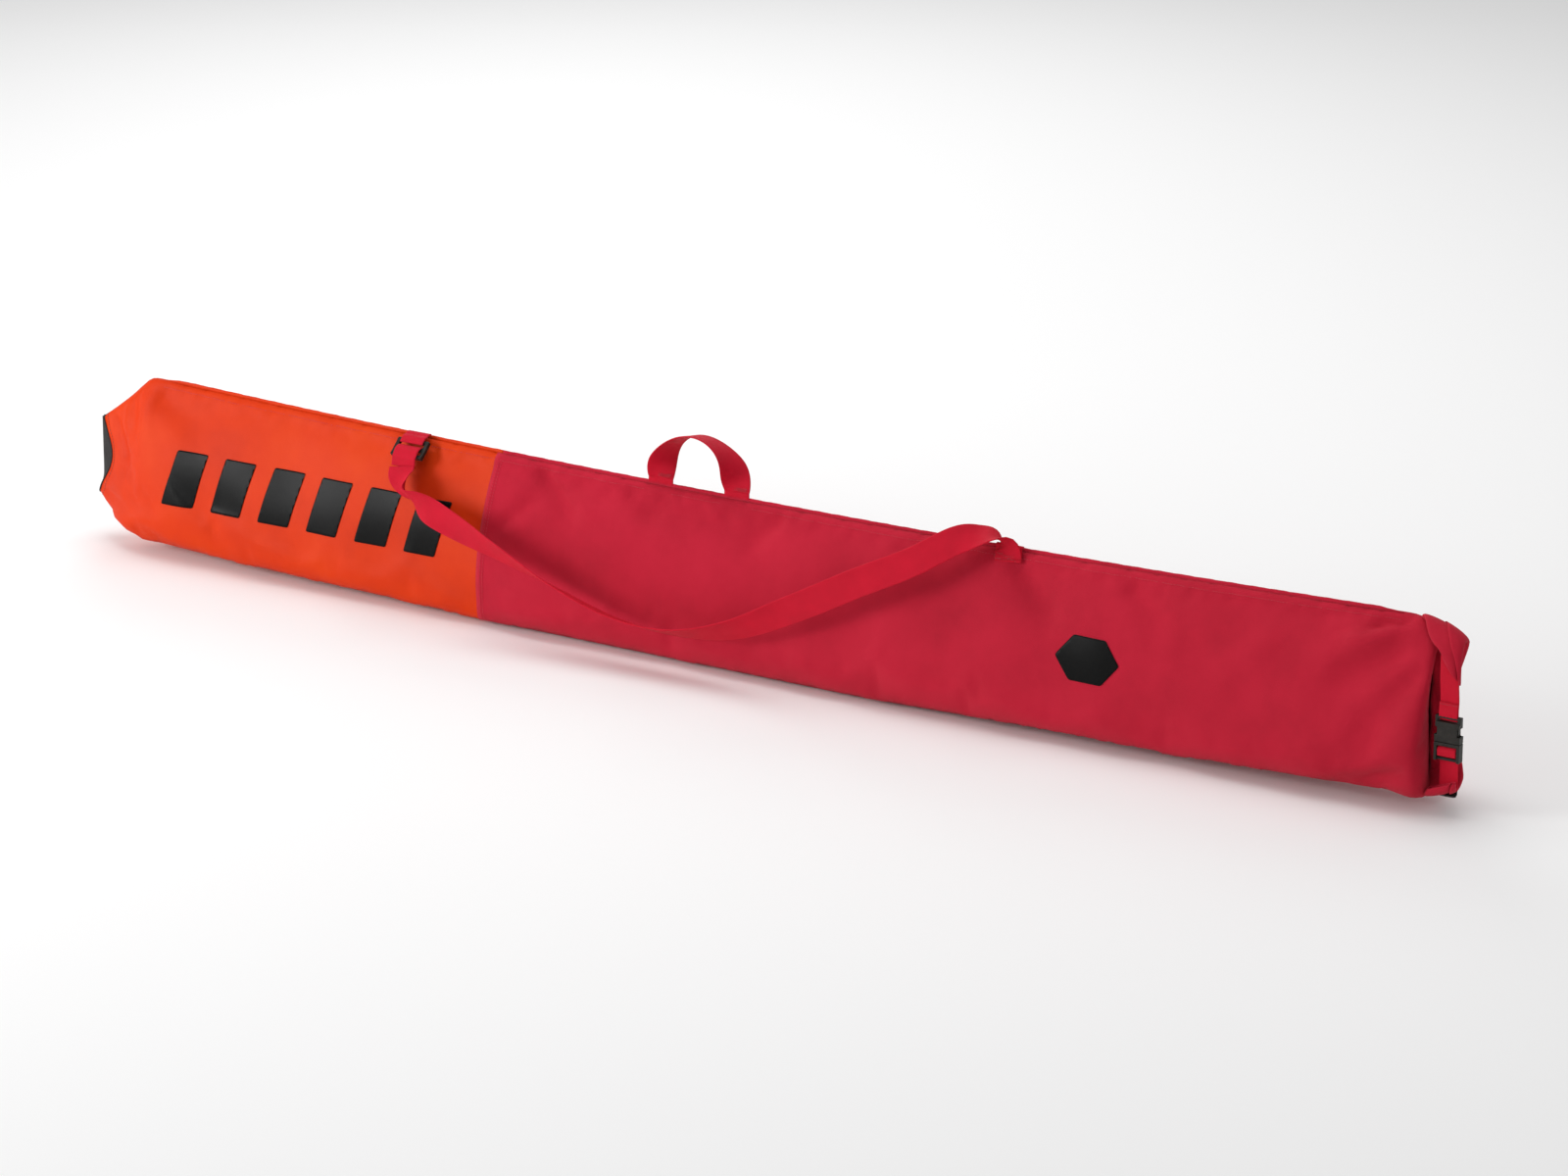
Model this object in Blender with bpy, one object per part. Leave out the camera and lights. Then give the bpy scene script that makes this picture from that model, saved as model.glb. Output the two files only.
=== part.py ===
"""Roll-top ski bag: a long sleeve that stands on its lower fold, with a rolled and buckled mouth at +X.

Frame: X along the bag, Y across it (the printed face is at -Y), Z up, origin mid-bottom.
Metres. Every soft piece is a plain closed solid of the true outer shape.
"""

import math

import bmesh
import bpy
from mathutils import Matrix, Vector

# ---- driving dimensions ----
GAP = 0.0003  # between pieces that touch
CLOTH = 0.002  # wall of the sleeve
RIDGE_MID = 0.2215  # height of the top seam at the middle of the bag
RIDGE_RISE = 0.0165  # how much higher it is at the two corners
CORNER_X = 0.956  # the upper corners of the sleeve are at -CORNER_X and +CORNER_X
END_LIFT = 0.012  # the bottom lifts this much towards both ends
FLAT_X = 0.38  # the bottom is flat between -FLAT_X and +FLAT_X
FULL = 0.062  # half of the thickness where the sleeve is fullest
SEAM_X = -0.380  # orange cloth below it, red cloth above
WEBBING = 0.038  # width of the handle and shoulder webbing
WEB_THICK = 0.0018
CLOSURE_WEB = 0.025  # width of the closure webbing
BUCKLE_W, BUCKLE_D = 0.034, 0.0115
SHELL_WALL = 0.0018  # of the female half of the buckle

# End rows of the sleeve: (x, height of the ridge, height of the bottom, half thickness)
TAIL_ROWS = (
    (-1.044, 0.1700, 0.0640, 0.020),
    (-1.024, 0.1840, 0.0500, 0.031),
    (-0.994, 0.2070, 0.0310, 0.043),
    (-0.971, 0.2270, 0.0165, 0.050),
    (-0.952, 0.2375, 0.0120, 0.055),
)
MOUTH_ROWS = (
    (0.956, 0.2385, 0.0130, 0.0570),
    (0.980, 0.2355, 0.0150, 0.0540),
    (0.990, 0.2330, 0.0180, 0.0460),
    (0.9905, 0.2300, 0.0205, 0.0340),
    (0.9850, 0.2275, 0.0225, 0.0180),
    (0.9800, 0.2255, 0.0240, 0.0065),
)
NECK_X = 0.9930  # the neck ends here, at the roll
NECK_Z = (0.045, 0.180)  # bottom and top of the neck, clear of the narrow top of the lip
SECTION_STEPS = (0, 0.03, 0.09, 0.18, 0.30, 0.44, 0.58, 0.70, 0.80, 0.88, 0.94, 0.98)

HANDLE_XS = (-0.133, -0.0165)  # middle of the two handle legs
HANDLE_TOP = 0.2955
HANDLE_LIFT = 0.0085  # the legs start this far above the ridge
HANDLE_STEPS = 32

LOCK_X, LOCK_W, LOCK_H, LOCK_D = -0.512, 0.050, 0.028, 0.007
LOCK_Y, LOCK_Z, LOCK_LEAN = -0.0295, 0.2110, math.radians(48)
TAB_X = 0.392
STRAP_AXIS_Y, STRAP_AXIS_Z = -0.004, 0.2305

# Shoulder strap, lock to tab: (middle of the webbing, direction of its upper edge)
STRAP = (
    ((-0.512, -0.0455, 0.1955), (1.00, 0.00, 0.00)),
    ((-0.509, -0.0545, 0.1855), (1.00, 0.00, 0.05)),
    ((-0.493, -0.0660, 0.1740), (0.90, 0.00, 0.40)),
    ((-0.458, -0.0740, 0.1580), (0.80, 0.00, 0.60)),
    ((-0.405, -0.0810, 0.1400), (0.70, -0.10, 0.65)),
    ((-0.330, -0.0880, 0.1180), (0.45, -0.55, 0.65)),
    ((-0.240, -0.0930, 0.0890), (0.25, -0.85, 0.40)),
    ((-0.150, -0.0960, 0.0650), (0.12, -0.90, 0.35)),
    ((-0.060, -0.0960, 0.0590), (0.00, -0.85, 0.45)),
    ((0.030, -0.0920, 0.0770), (-0.25, -0.60, 0.70)),
    ((0.120, -0.0860, 0.1200), (-0.45, -0.20, 0.80)),
    ((0.210, -0.0760, 0.1680), (-0.50, 0.05, 0.80)),
    ((0.280, -0.0600, 0.2030), (-0.45, 0.25, 0.80)),
    ((0.335, -0.0330, 0.2310), (-0.20, 0.45, 0.80)),
    ((0.372, -0.0130, 0.2440), (0.30, 0.60, 0.60)),
)

ROLL_D = 0.0135  # thickness of the roll
# The rolled mouth: both ends fold forward and point at each other. (y, z, left x, right x)
ROLL_LINE = (
    (-0.0320, 0.1700, 1.0000, 1.0320), (-0.0310, 0.1950, 0.9950, 1.0320),
    (-0.0240, 0.2150, 0.9950, 1.0320), (-0.0110, 0.2230, 0.9950, 1.0300),
    (0.0010, 0.2130, 0.9940, 1.0240), (0.0050, 0.1850, 0.9938, 1.0160),
    (0.0060, 0.1250, 0.9938, 1.0150), (0.0050, 0.0650, 0.9938, 1.0160),
    (0.0000, 0.0350, 0.9940, 1.0250), (-0.0110, 0.0220, 0.9950, 1.0300),
    (-0.0230, 0.0225, 0.9950, 1.0320), (-0.0310, 0.0300, 0.9955, 1.0320),
    (-0.0335, 0.0410, 1.0000, 1.0320),
)
BUCKLE_X, BUCKLE_Y = 1.0190, -0.0320
SHELL_Z = (0.0960, 0.1290)  # bottom and top of the female half
BASE_Z = (0.0720, 0.0955)  # bottom and top of the male half's frame
ARM_LIFT = 0.0008  # the spring arms start this far above the frame, which lets them lean
WEB_BACK = 0.0042  # the lower webbing passes this far behind the middle of the buckle, clear of the arms

PRINT_COUNT, PRINT_X, PRINT_PITCH, PRINT_BAR = 6, -0.905, 0.0800, 0.050
PRINT_LOW, PRINT_HIGH, PRINT_SLANT = 0.082, 0.156, 0.018
BADGE_X, BADGE_Z, BADGE_L, BADGE_H = 0.530, 0.1160, 0.092, 0.056


# ---- scene and materials ----
def clear_scene():
    for obj in list(bpy.data.objects):
        bpy.data.objects.remove(obj, do_unlink=True)


def finish_object(name, bm, colour, roughness=0.7, metallic=0.0, origin=(0, 0, 0)):
    """One named object with its own material and its origin at the given place."""
    bmesh.ops.recalc_face_normals(bm, faces=bm.faces)
    bmesh.ops.translate(bm, verts=bm.verts, vec=-Vector(origin))
    mesh = bpy.data.meshes.new(name)
    bm.to_mesh(mesh)
    bm.free()
    mesh.shade_smooth()
    mesh.set_sharp_from_angle(angle=math.radians(40))
    material = bpy.data.materials.new(name)
    material.use_nodes = True
    shader = material.node_tree.nodes["Principled BSDF"]
    shader.inputs["Base Color"].default_value = (*colour, 1)
    shader.inputs["Roughness"].default_value = roughness
    shader.inputs["Metallic"].default_value = metallic
    mesh.materials.append(material)
    obj = bpy.data.objects.new(name, mesh)
    obj.location = origin
    bpy.context.collection.objects.link(obj)
    return obj


ORANGE, RED, WEB_RED, BLACK, FILM = (
    (0.84, 0.09, 0.02), (0.55, 0.012, 0.04), (0.60, 0.010, 0.035), (0.03, 0.03, 0.03), (0.012, 0.012, 0.012)
)


# ---- shape helpers ----
def loft(bm, rings, cap=True):
    """Quads between rings of the same length; the first and last ring are capped."""
    rows = [[bm.verts.new(p) for p in ring] for ring in rings]
    count = len(rows[0])
    for near, far in zip(rows, rows[1:]):
        for i in range(count):
            j = (i + 1) % count
            bm.faces.new((near[i], near[j], far[j], far[i]))
    if cap:
        bm.faces.new(rows[0][::-1])
        bm.faces.new(rows[-1])
    return rows


def tube(bm, outer, inner):
    """A wall between two lofts, open at both ends."""
    outside, inside = loft(bm, outer, cap=False), loft(bm, inner, cap=False)
    count = len(outside[0])
    for near, far in ((outside[0], inside[0]), (outside[-1], inside[-1])):
        for i in range(count):
            j = (i + 1) % count
            bm.faces.new((near[i], near[j], far[j], far[i]))


def box(bm, low, high):
    size = [b - a for a, b in zip(low, high)]
    middle = [(a + b) / 2 for a, b in zip(low, high)]
    matrix = Matrix.Translation(middle) @ Matrix.Diagonal((*size, 1))
    return bmesh.ops.create_cube(bm, size=1, matrix=matrix)["verts"]


def smooth_line(points, steps):
    """Points of a Catmull-Rom curve through the given points, with this many steps between two of them."""
    ends = [points[0] * 2 - points[1], *points, points[-1] * 2 - points[-2]]
    line = []
    for a, b, c, d in zip(ends, ends[1:], ends[2:], ends[3:]):
        for k in range(steps):
            t = k / steps
            line.append((b * 2 + (c - a) * t + (a * 2 - b * 5 + c * 4 - d) * t**2
                         + (b * 3 - a - c * 3 + d) * t**3) / 2)
    return [*line, points[-1]]


def ribbon_rings(line, sides, width, thick, columns=1):
    """Rectangles across a line, split into columns; sides give the way the width runs at each point."""
    rings = []
    shares = [1 - 2 * k / columns for k in range(columns + 1)]
    for i, (middle, side) in enumerate(zip(line, sides)):
        along = (line[min(i + 1, len(line) - 1)] - line[max(i - 1, 0)]).normalized()
        across = (side - along * side.dot(along)).normalized() * width / 2
        normal = along.cross(across).normalized() * thick / 2
        rings.append([middle + across * s + normal for s in shares]
                     + [middle + across * s - normal for s in reversed(shares)])
    return rings


def ribbon(name, line, sides, width, thick, colour, origin=(0, 0, 0), columns=1):
    bm = bmesh.new()
    loft(bm, ribbon_rings(line, sides, width, thick, columns))
    return finish_object(name, bm, colour, 0.65, origin=origin)


def combine(obj, low, high, operation="DIFFERENCE", place=None):
    """Takes a box away from an object, or adds it; place is the object's matrix, where it has one."""
    bm = bmesh.new()
    box(bm, low, high)
    helper = finish_object(f"{obj.name}_{operation.lower()}_{len(obj.modifiers)}", bm, BLACK)
    if place:
        helper.matrix_world = place
    helper.hide_render = True
    helper.display_type = "WIRE"
    modifier = obj.modifiers.new(helper.name, "BOOLEAN")
    modifier.operation = operation
    modifier.object = helper


# ---- the sleeve's shape ----
def sleeve_row(x):
    """(x, ridge height, bottom height, half thickness) between the end rows."""
    lift = max(0.0, (abs(x) - FLAT_X) / (CORNER_X - FLAT_X))
    ridge = RIDGE_MID + RIDGE_RISE * (x / CORNER_X) ** 2
    return x, ridge, END_LIFT * min(lift, 1) ** 2, FULL - 0.004 * min(lift, 1) ** 2


def section(row, inset=0.0):
    """One ring of the pear-shaped section: a flat bottom, full sides and a pointed ridge."""
    x, ridge, bottom, full = row
    ridge, bottom, full = ridge - 2 * inset, bottom + inset, full - inset
    front = []
    for t in SECTION_STEPS:
        y = full * (1 - t) ** 0.75 * (t + 0.02) ** 0.3 / 0.55
        front.append(Vector((x, -y, bottom + (ridge - bottom) * t)))
    back = [Vector((p.x, -p.y, p.z)) for p in reversed(front)]
    return [*front, Vector((x, 0, ridge)), *back]


def face_y(x, z):
    """The y of the printed face at this place."""
    _, ridge, bottom, full = sleeve_row(x)
    t = (z - bottom) / (ridge - bottom)
    return -full * (1 - t) ** 0.75 * (t + 0.02) ** 0.3 / 0.55


def evenly(start, end, count):
    return [start + (end - start) * i / (count - 1) for i in range(count)]


# ---- pieces of the sleeve ----
def inner_face(rows, i):
    """The inside of the wall at a row, one CLOTH in, square to the way the sleeve narrows or folds back."""
    before, after = rows[max(i - 1, 0)], rows[min(i + 1, len(rows) - 1)]
    run = Vector((after[0] - before[0], after[3] - before[3])).normalized()
    x, ridge, bottom, full = rows[i]
    return section((x + run.y * CLOTH, ridge, bottom, full), run.x * CLOTH)


def sleeve():
    lower = [*TAIL_ROWS, *(sleeve_row(x) for x in evenly(-0.90, SEAM_X - GAP, 6))]
    upper = [*(sleeve_row(x) for x in evenly(SEAM_X, 0.92, 11)), *MOUTH_ROWS]
    for name, rows, colour, roughness in (
        ("sleeve_lower_orange", lower, ORANGE, 0.45), ("sleeve_upper_red", upper, RED, 0.8)
    ):
        bm = bmesh.new()
        tube(bm, [section(row) for row in rows], [inner_face(rows, i) for i in range(len(rows))])
        finish_object(name, bm, colour, roughness)


def tail_end():
    x, ridge, bottom, full = TAIL_ROWS[0]
    middle = (ridge + bottom) / 2
    rings = []
    for depth, share in ((GAP, 1.0), (0.005, 0.97), (0.009, 0.82), (0.012, 0.45)):
        half = (ridge - bottom) / 2 * share
        rings.append(section((x - depth, middle + half, middle - half, full * share)))
    bm = bmesh.new()
    loft(bm, rings)
    finish_object("tail_end_panel", bm, BLACK, 0.8)

    bm = bmesh.new()
    rows = [(x - 0.002, ridge, bottom, full), TAIL_ROWS[0],
            (x + 0.008, ridge + 0.0066, bottom - 0.0058, full + 0.0049)]
    tube(bm, [section(row, -0.0022) for row in rows], [section(row, -0.0008) for row in rows])
    finish_object("tail_end_binding", bm, BLACK, 0.7)


def seams():
    bm = bmesh.new()
    rows = [sleeve_row(SEAM_X - 0.010), sleeve_row(SEAM_X + 0.010)]
    tube(bm, [section(row, CLOTH + GAP) for row in rows], [section(row, CLOTH + 0.0012) for row in rows])
    finish_object("inner_seam_tape", bm, BLACK, 0.5)

    bm = bmesh.new()
    loft(bm, [
        [Vector((x, y, sleeve_row(x)[1] + GAP + h)) for y, h in ((-0.0012, 0), (0.0012, 0), (0.0012, 0.005),
                                                                (-0.0012, 0.005))]
        for x in evenly(-0.945, 0.945, 22)
    ])
    finish_object("top_seam_binding", bm, RED, 0.8)


def patch(name, x_ranges, colour):
    """A thin film on the printed face; x_ranges gives (z, left x, right x) from its lowest row up."""
    bm = bmesh.new()
    columns = 5
    layers = []
    for lift in (GAP, GAP + 0.0006):
        layers.append([[bm.verts.new((x, face_y(x, z) - lift, z)) for x in evenly(left, right, columns)]
                       for z, left, right in x_ranges])
    for layer in layers:
        for low, high in zip(layer, layer[1:]):
            for i in range(columns - 1):
                bm.faces.new((low[i], low[i + 1], high[i + 1], high[i]))
    rims = [
        [row[0] for row in layers[k]] + layers[k][-1][1:] + [row[-1] for row in layers[k][-2::-1]]
        + layers[k][0][-2:0:-1] for k in (0, 1)
    ]
    for i in range(len(rims[0])):
        j = (i + 1) % len(rims[0])
        bm.faces.new((rims[0][i], rims[0][j], rims[1][j], rims[1][i]))
    finish_object(name, bm, colour, 0.3)


def prints():
    for i in range(PRINT_COUNT):
        left = PRINT_X + PRINT_PITCH * i
        rows = [(z, left + PRINT_SLANT * s, left + PRINT_BAR + PRINT_SLANT * s)
                for z, s in zip(evenly(PRINT_LOW, PRINT_HIGH, 7), evenly(0, 1, 7))]
        patch(f"print_bar_{i + 1}", rows, FILM)
    half, point = BADGE_H / 2, BADGE_L / 2
    rows = [(BADGE_Z + half * s, BADGE_X - point * (1 - abs(s) / 2), BADGE_X + point * (1 - abs(s) / 2))
            for s in evenly(-1, 1, 7)]
    patch("print_badge", rows, FILM)


# ---- webbing that carries the bag ----
def handle():
    left, right = HANDLE_XS
    middle, reach = (left + right) / 2, (right - left) / 2
    foot = sleeve_row(middle)[1] + HANDLE_LIFT
    line, sides = [], []
    for i in range(HANDLE_STEPS + 1):
        turn = math.pi * i / HANDLE_STEPS
        flat = math.sin(turn) ** 1.5
        height = foot + (HANDLE_TOP - foot) * math.sin(turn) ** 0.8
        line.append(Vector((middle - reach * math.cos(turn), 0, height)))
        sides.append(Vector((1 - flat, flat, -0.2 * flat)))
    ribbon("carry_handle", line, sides, WEBBING, WEB_THICK, WEB_RED, origin=(middle, 0, foot), columns=4)


def lock_frame():
    """The way along and across the ladder lock as it leans on the face."""
    down = Vector((0, -math.sin(LOCK_LEAN), -math.cos(LOCK_LEAN)))
    return Vector((LOCK_X, LOCK_Y, LOCK_Z)), down, Vector((0, -math.cos(LOCK_LEAN), math.sin(LOCK_LEAN)))


def shoulder_strap():
    points = [Vector(p) for p, _ in STRAP]
    sides = [Vector(s).normalized() for _, s in STRAP]
    ribbon("shoulder_strap", smooth_line(points, 8), smooth_line(sides, 8), WEBBING, WEB_THICK, WEB_RED,
           origin=(points[0].x, STRAP_AXIS_Y, STRAP_AXIS_Z), columns=4)

    centre, down, out = lock_frame()
    bm = bmesh.new()
    box(bm, (-LOCK_W / 2, -LOCK_H / 2, -LOCK_D / 2), (LOCK_W / 2, LOCK_H / 2, LOCK_D / 2))
    lock = finish_object("strap_ladder_lock", bm, BLACK, 0.4)
    place = Matrix.Translation(centre) @ Matrix((
        (1, 0, 0, 0), (0, -down.y, out.y, 0), (0, -down.z, out.z, 0), (0, 0, 0, 1)
    ))
    lock.matrix_world = place
    half = WEBBING / 2 + 0.0005
    for low, high in ((-0.0095, -0.0035), (0.0035, 0.0095)):
        combine(lock, (-half, low, -0.01), (half, high, 0.01), place=place)


def strap_anchors():
    centre, down, out = lock_frame()
    top = sleeve_row(LOCK_X)[1]
    line = [Vector((LOCK_X, -0.0042, top + 0.004)), Vector((LOCK_X, -0.0110, top + 0.0035)),
            centre - down * (LOCK_H / 2 + 0.004) + out * 0.0045, centre - down * 0.0065 + out * 0.0052]
    ribbon("strap_anchor_left", smooth_line(line, 3), [Vector((1, 0, 0))] * 10, WEBBING - 0.002, WEB_THICK,
           WEB_RED)
    top = sleeve_row(TAB_X)[1]
    line = [Vector((TAB_X, -0.0042, top + 0.005)), Vector((TAB_X, -0.0100, top + 0.002)),
            Vector((TAB_X, -0.0235, top - 0.014))]
    ribbon("strap_anchor_right", smooth_line(line, 3), [Vector((1, 0, 0))] * 7, WEBBING, WEB_THICK, WEB_RED)


# ---- closure ----
def roll_ring(middle, along, width, depth):
    """An oval across the roll's line, which runs in the YZ plane."""
    normal = Vector((0, -along.z, along.y))
    return [middle + Vector((width / 2 * math.cos(a), 0, 0)) + normal * depth / 2 * math.sin(a)
            for a in (2 * math.pi * k / 12 for k in range(12))]


def closure():
    line = smooth_line([Vector(((left + right) / 2, y, z)) for y, z, left, right in ROLL_LINE], 2)
    widths = [w.x for w in smooth_line([Vector((right - left, 0, 0)) for _, _, left, right in ROLL_LINE], 2)]
    outer, inner, stiff = [], [], []
    for i, (middle, width) in enumerate(zip(line, widths)):
        along = (line[min(i + 1, len(line) - 1)] - line[max(i - 1, 0)]).normalized()
        along = Vector((0, along.y, along.z)).normalized()
        outer.append(roll_ring(middle, along, width, ROLL_D))
        inner.append(roll_ring(middle, along, width - 0.008, 0.005))
        stiff.append(roll_ring(middle, along, width - 0.014, 0.0016))
    bm = bmesh.new()
    tube(bm, outer, inner)
    finish_object("rolled_mouth", bm, RED, 0.8)
    bm = bmesh.new()
    loft(bm, stiff[3:-3])
    finish_object("mouth_stiffener", bm, BLACK, 0.5)

    bm = bmesh.new()
    box(bm, (MOUTH_ROWS[-1][0] + GAP, -0.003, NECK_Z[0]), (NECK_X, 0.003, NECK_Z[1]))
    finish_object("mouth_neck", bm, RED, 0.8)

    across = Vector((1, 0, 0))
    upper = [Vector((BUCKLE_X, BUCKLE_Y, z)) for z in (ROLL_LINE[0][1] - GAP, 0.156, 0.142, SHELL_Z[1] + GAP)]
    ribbon("closure_web_upper", upper, [across] * 4, CLOSURE_WEB, WEB_THICK, WEB_RED)
    low = ROLL_LINE[-1][1] + 0.0035
    lower = [Vector((BUCKLE_X, BUCKLE_Y + WEB_BACK, z)) for z in (low, 0.0570, 0.0720, 0.0880)]
    ribbon("closure_web_lower", lower, [across] * 4, CLOSURE_WEB, WEB_THICK, WEB_RED)
    tail = [Vector((BUCKLE_X, BUCKLE_Y - 0.0032, z)) for z in (0.0880, 0.0770, 0.0660)]
    ribbon("closure_web_tail", tail, [across] * 3, CLOSURE_WEB, 0.0014, WEB_RED)


def buckle_female():
    low, high = SHELL_Z
    x, y, half, deep = BUCKLE_X, BUCKLE_Y, BUCKLE_W / 2, BUCKLE_D / 2
    bm = bmesh.new()
    box(bm, (x - half, y - deep, low), (x + half, y + deep, high))
    shell = finish_object("buckle_female_shell", bm, BLACK, 0.4)
    combine(shell, (x - half + SHELL_WALL, y - deep + SHELL_WALL, low - 0.01),
            (x + half - SHELL_WALL, y + deep - SHELL_WALL, high - 0.008))
    combine(shell, (x - half - 0.01, y - 0.0032, low + 0.009), (x + half + 0.01, y + 0.0032, low + 0.019))


def buckle_male():
    x, y, half, deep = BUCKLE_X, BUCKLE_Y, BUCKLE_W / 2, BUCKLE_D / 2
    low, high = BASE_Z
    bm = bmesh.new()
    box(bm, (x - half, y - deep, low), (x + half, y + deep, high))
    base = finish_object("buckle_male_base", bm, BLACK, 0.4)
    channel = CLOSURE_WEB / 2 + 0.0007
    combine(base, (x - channel, y - deep + 0.0012, low - 0.01),
            (x + channel, y + deep + 0.0010, high - 0.003))
    combine(base, (x - channel, y + WEB_BACK - 0.0012, low),
            (x + channel, y + deep + 0.0010, high + 0.010))
    combine(base, (x - 0.003, y - 0.0025, high - 0.0015), (x + 0.003, y + 0.0025, high + 0.020), "UNION")

    for name, way in (("buckle_arm_left", -1), ("buckle_arm_right", 1)):
        inner, outer = x + way * 0.0085, x + way * (half - 0.0023)
        bm = bmesh.new()
        box(bm, (min(inner, outer), y - 0.0028, high + ARM_LIFT),
            (max(inner, outer), y + 0.0028, high + 0.021))
        for vert in bm.verts:
            if vert.co.z > high + 0.01 and abs(vert.co.x - x) < 0.010:
                vert.co.x += way * 0.0025
        finish_object(name, bm, BLACK, 0.4, origin=((inner + outer) / 2, y, high + ARM_LIFT))


def pivot(name, at, pieces):
    """An empty on a joint's axis, which carries what moves about it."""
    empty = bpy.data.objects.new(name, None)
    empty.location = at
    bpy.context.collection.objects.link(empty)
    for piece in pieces:
        carried = bpy.data.objects[piece]
        carried.parent = empty
        carried.matrix_parent_inverse = Matrix.Translation(-Vector(at))


clear_scene()
sleeve()
tail_end()
seams()
prints()
handle()
shoulder_strap()
strap_anchors()
closure()
buckle_female()
buckle_male()
pivot("strap_swing_axis", (LOCK_X, STRAP_AXIS_Y, STRAP_AXIS_Z),
      ("shoulder_strap", "strap_ladder_lock", "strap_anchor_left"))
pivot("buckle_release_axis", (BUCKLE_X, BUCKLE_Y, BASE_Z[1]),
      ("buckle_male_base", "closure_web_tail", "buckle_arm_left", "buckle_arm_right"))
pivot("closure_unroll_axis", (MOUTH_ROWS[-1][0], 0, (MOUTH_ROWS[-1][1] + MOUTH_ROWS[-1][2]) / 2),
      ("rolled_mouth", "mouth_stiffener", "closure_web_upper", "closure_web_lower", "buckle_female_shell",
       "buckle_release_axis"))
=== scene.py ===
"""Looks of the roll-top ski bag: cloth sleeve, webbing, closure, buckle and printed film on the frame."""
import math

import bmesh
import bpy
import numpy as np
from mathutils import Matrix, Vector
from mathutils.bvhtree import BVHTree


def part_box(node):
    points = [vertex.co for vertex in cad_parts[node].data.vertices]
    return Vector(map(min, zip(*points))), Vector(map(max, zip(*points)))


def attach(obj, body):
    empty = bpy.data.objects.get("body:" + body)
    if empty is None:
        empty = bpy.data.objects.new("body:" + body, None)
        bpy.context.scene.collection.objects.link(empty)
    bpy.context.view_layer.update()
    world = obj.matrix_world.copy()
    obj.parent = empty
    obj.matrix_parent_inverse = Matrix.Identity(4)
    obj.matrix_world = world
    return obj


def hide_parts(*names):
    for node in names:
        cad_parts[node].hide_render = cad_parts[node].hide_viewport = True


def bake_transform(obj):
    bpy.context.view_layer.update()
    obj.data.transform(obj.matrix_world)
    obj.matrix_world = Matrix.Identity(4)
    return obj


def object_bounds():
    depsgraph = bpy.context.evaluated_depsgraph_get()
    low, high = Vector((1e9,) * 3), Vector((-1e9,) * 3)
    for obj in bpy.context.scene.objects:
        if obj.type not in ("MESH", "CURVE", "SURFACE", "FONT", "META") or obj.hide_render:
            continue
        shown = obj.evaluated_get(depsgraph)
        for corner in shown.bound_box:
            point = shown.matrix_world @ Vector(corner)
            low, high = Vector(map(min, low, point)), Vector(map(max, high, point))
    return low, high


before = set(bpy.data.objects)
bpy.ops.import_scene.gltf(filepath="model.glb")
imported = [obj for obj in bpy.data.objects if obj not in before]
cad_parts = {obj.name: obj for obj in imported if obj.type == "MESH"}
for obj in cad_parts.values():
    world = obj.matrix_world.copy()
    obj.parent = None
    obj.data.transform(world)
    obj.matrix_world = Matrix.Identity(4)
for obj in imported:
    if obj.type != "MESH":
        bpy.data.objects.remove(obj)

CAD_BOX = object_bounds()

# ---- places read from the frame ----
RED_LOW, RED_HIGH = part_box("sleeve_upper_red")
SEAM_X = RED_LOW.x
TAIL_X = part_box("sleeve_lower_orange")[0].x
ROLL_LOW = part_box("rolled_mouth")[0]
SHELL_LOW, SHELL_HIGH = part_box("buckle_female_shell")
BASE_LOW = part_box("buckle_male_base")[0]
WEB_LOW, WEB_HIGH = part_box("closure_web_upper")
LOCK_LOW, LOCK_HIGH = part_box("strap_ladder_lock")
TAB_LOW, TAB_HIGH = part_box("strap_anchor_right")

# ---- the sleeve's shape, as in the frame ----
RIDGE_MID, RIDGE_RISE, CORNER_X, END_LIFT, FLAT_X, FULL = 0.2215, 0.0165, 0.956, 0.012, 0.38, 0.062
TAIL_ROWS = (
    (-1.044, 0.1700, 0.0640, 0.020),
    (-1.024, 0.1840, 0.0500, 0.031),
    (-0.994, 0.2070, 0.0310, 0.043),
    (-0.971, 0.2270, 0.0165, 0.050),
    (-0.952, 0.2375, 0.0120, 0.055),
)
MOUTH_ROWS = (
    (0.956, 0.2385, 0.0130, 0.0570),
    (0.978, 0.2290, 0.0150, 0.0540),
    (0.988, 0.2230, 0.0180, 0.0460),
    (0.9895, 0.2200, 0.0205, 0.0340),
    (0.9850, 0.2180, 0.0225, 0.0180),
    (0.9800, 0.2160, 0.0240, 0.0065),
)
TAIL_BOW = 0.024  # the tail seam bows this far onto the faces at mid height
AROUND = 72  # points round the sleeve
ROW_STEP = 0.0078  # between two rows of the cloth
CLOTH = 0.0006
SEAM_HEIGHT = 0.0034

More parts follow.
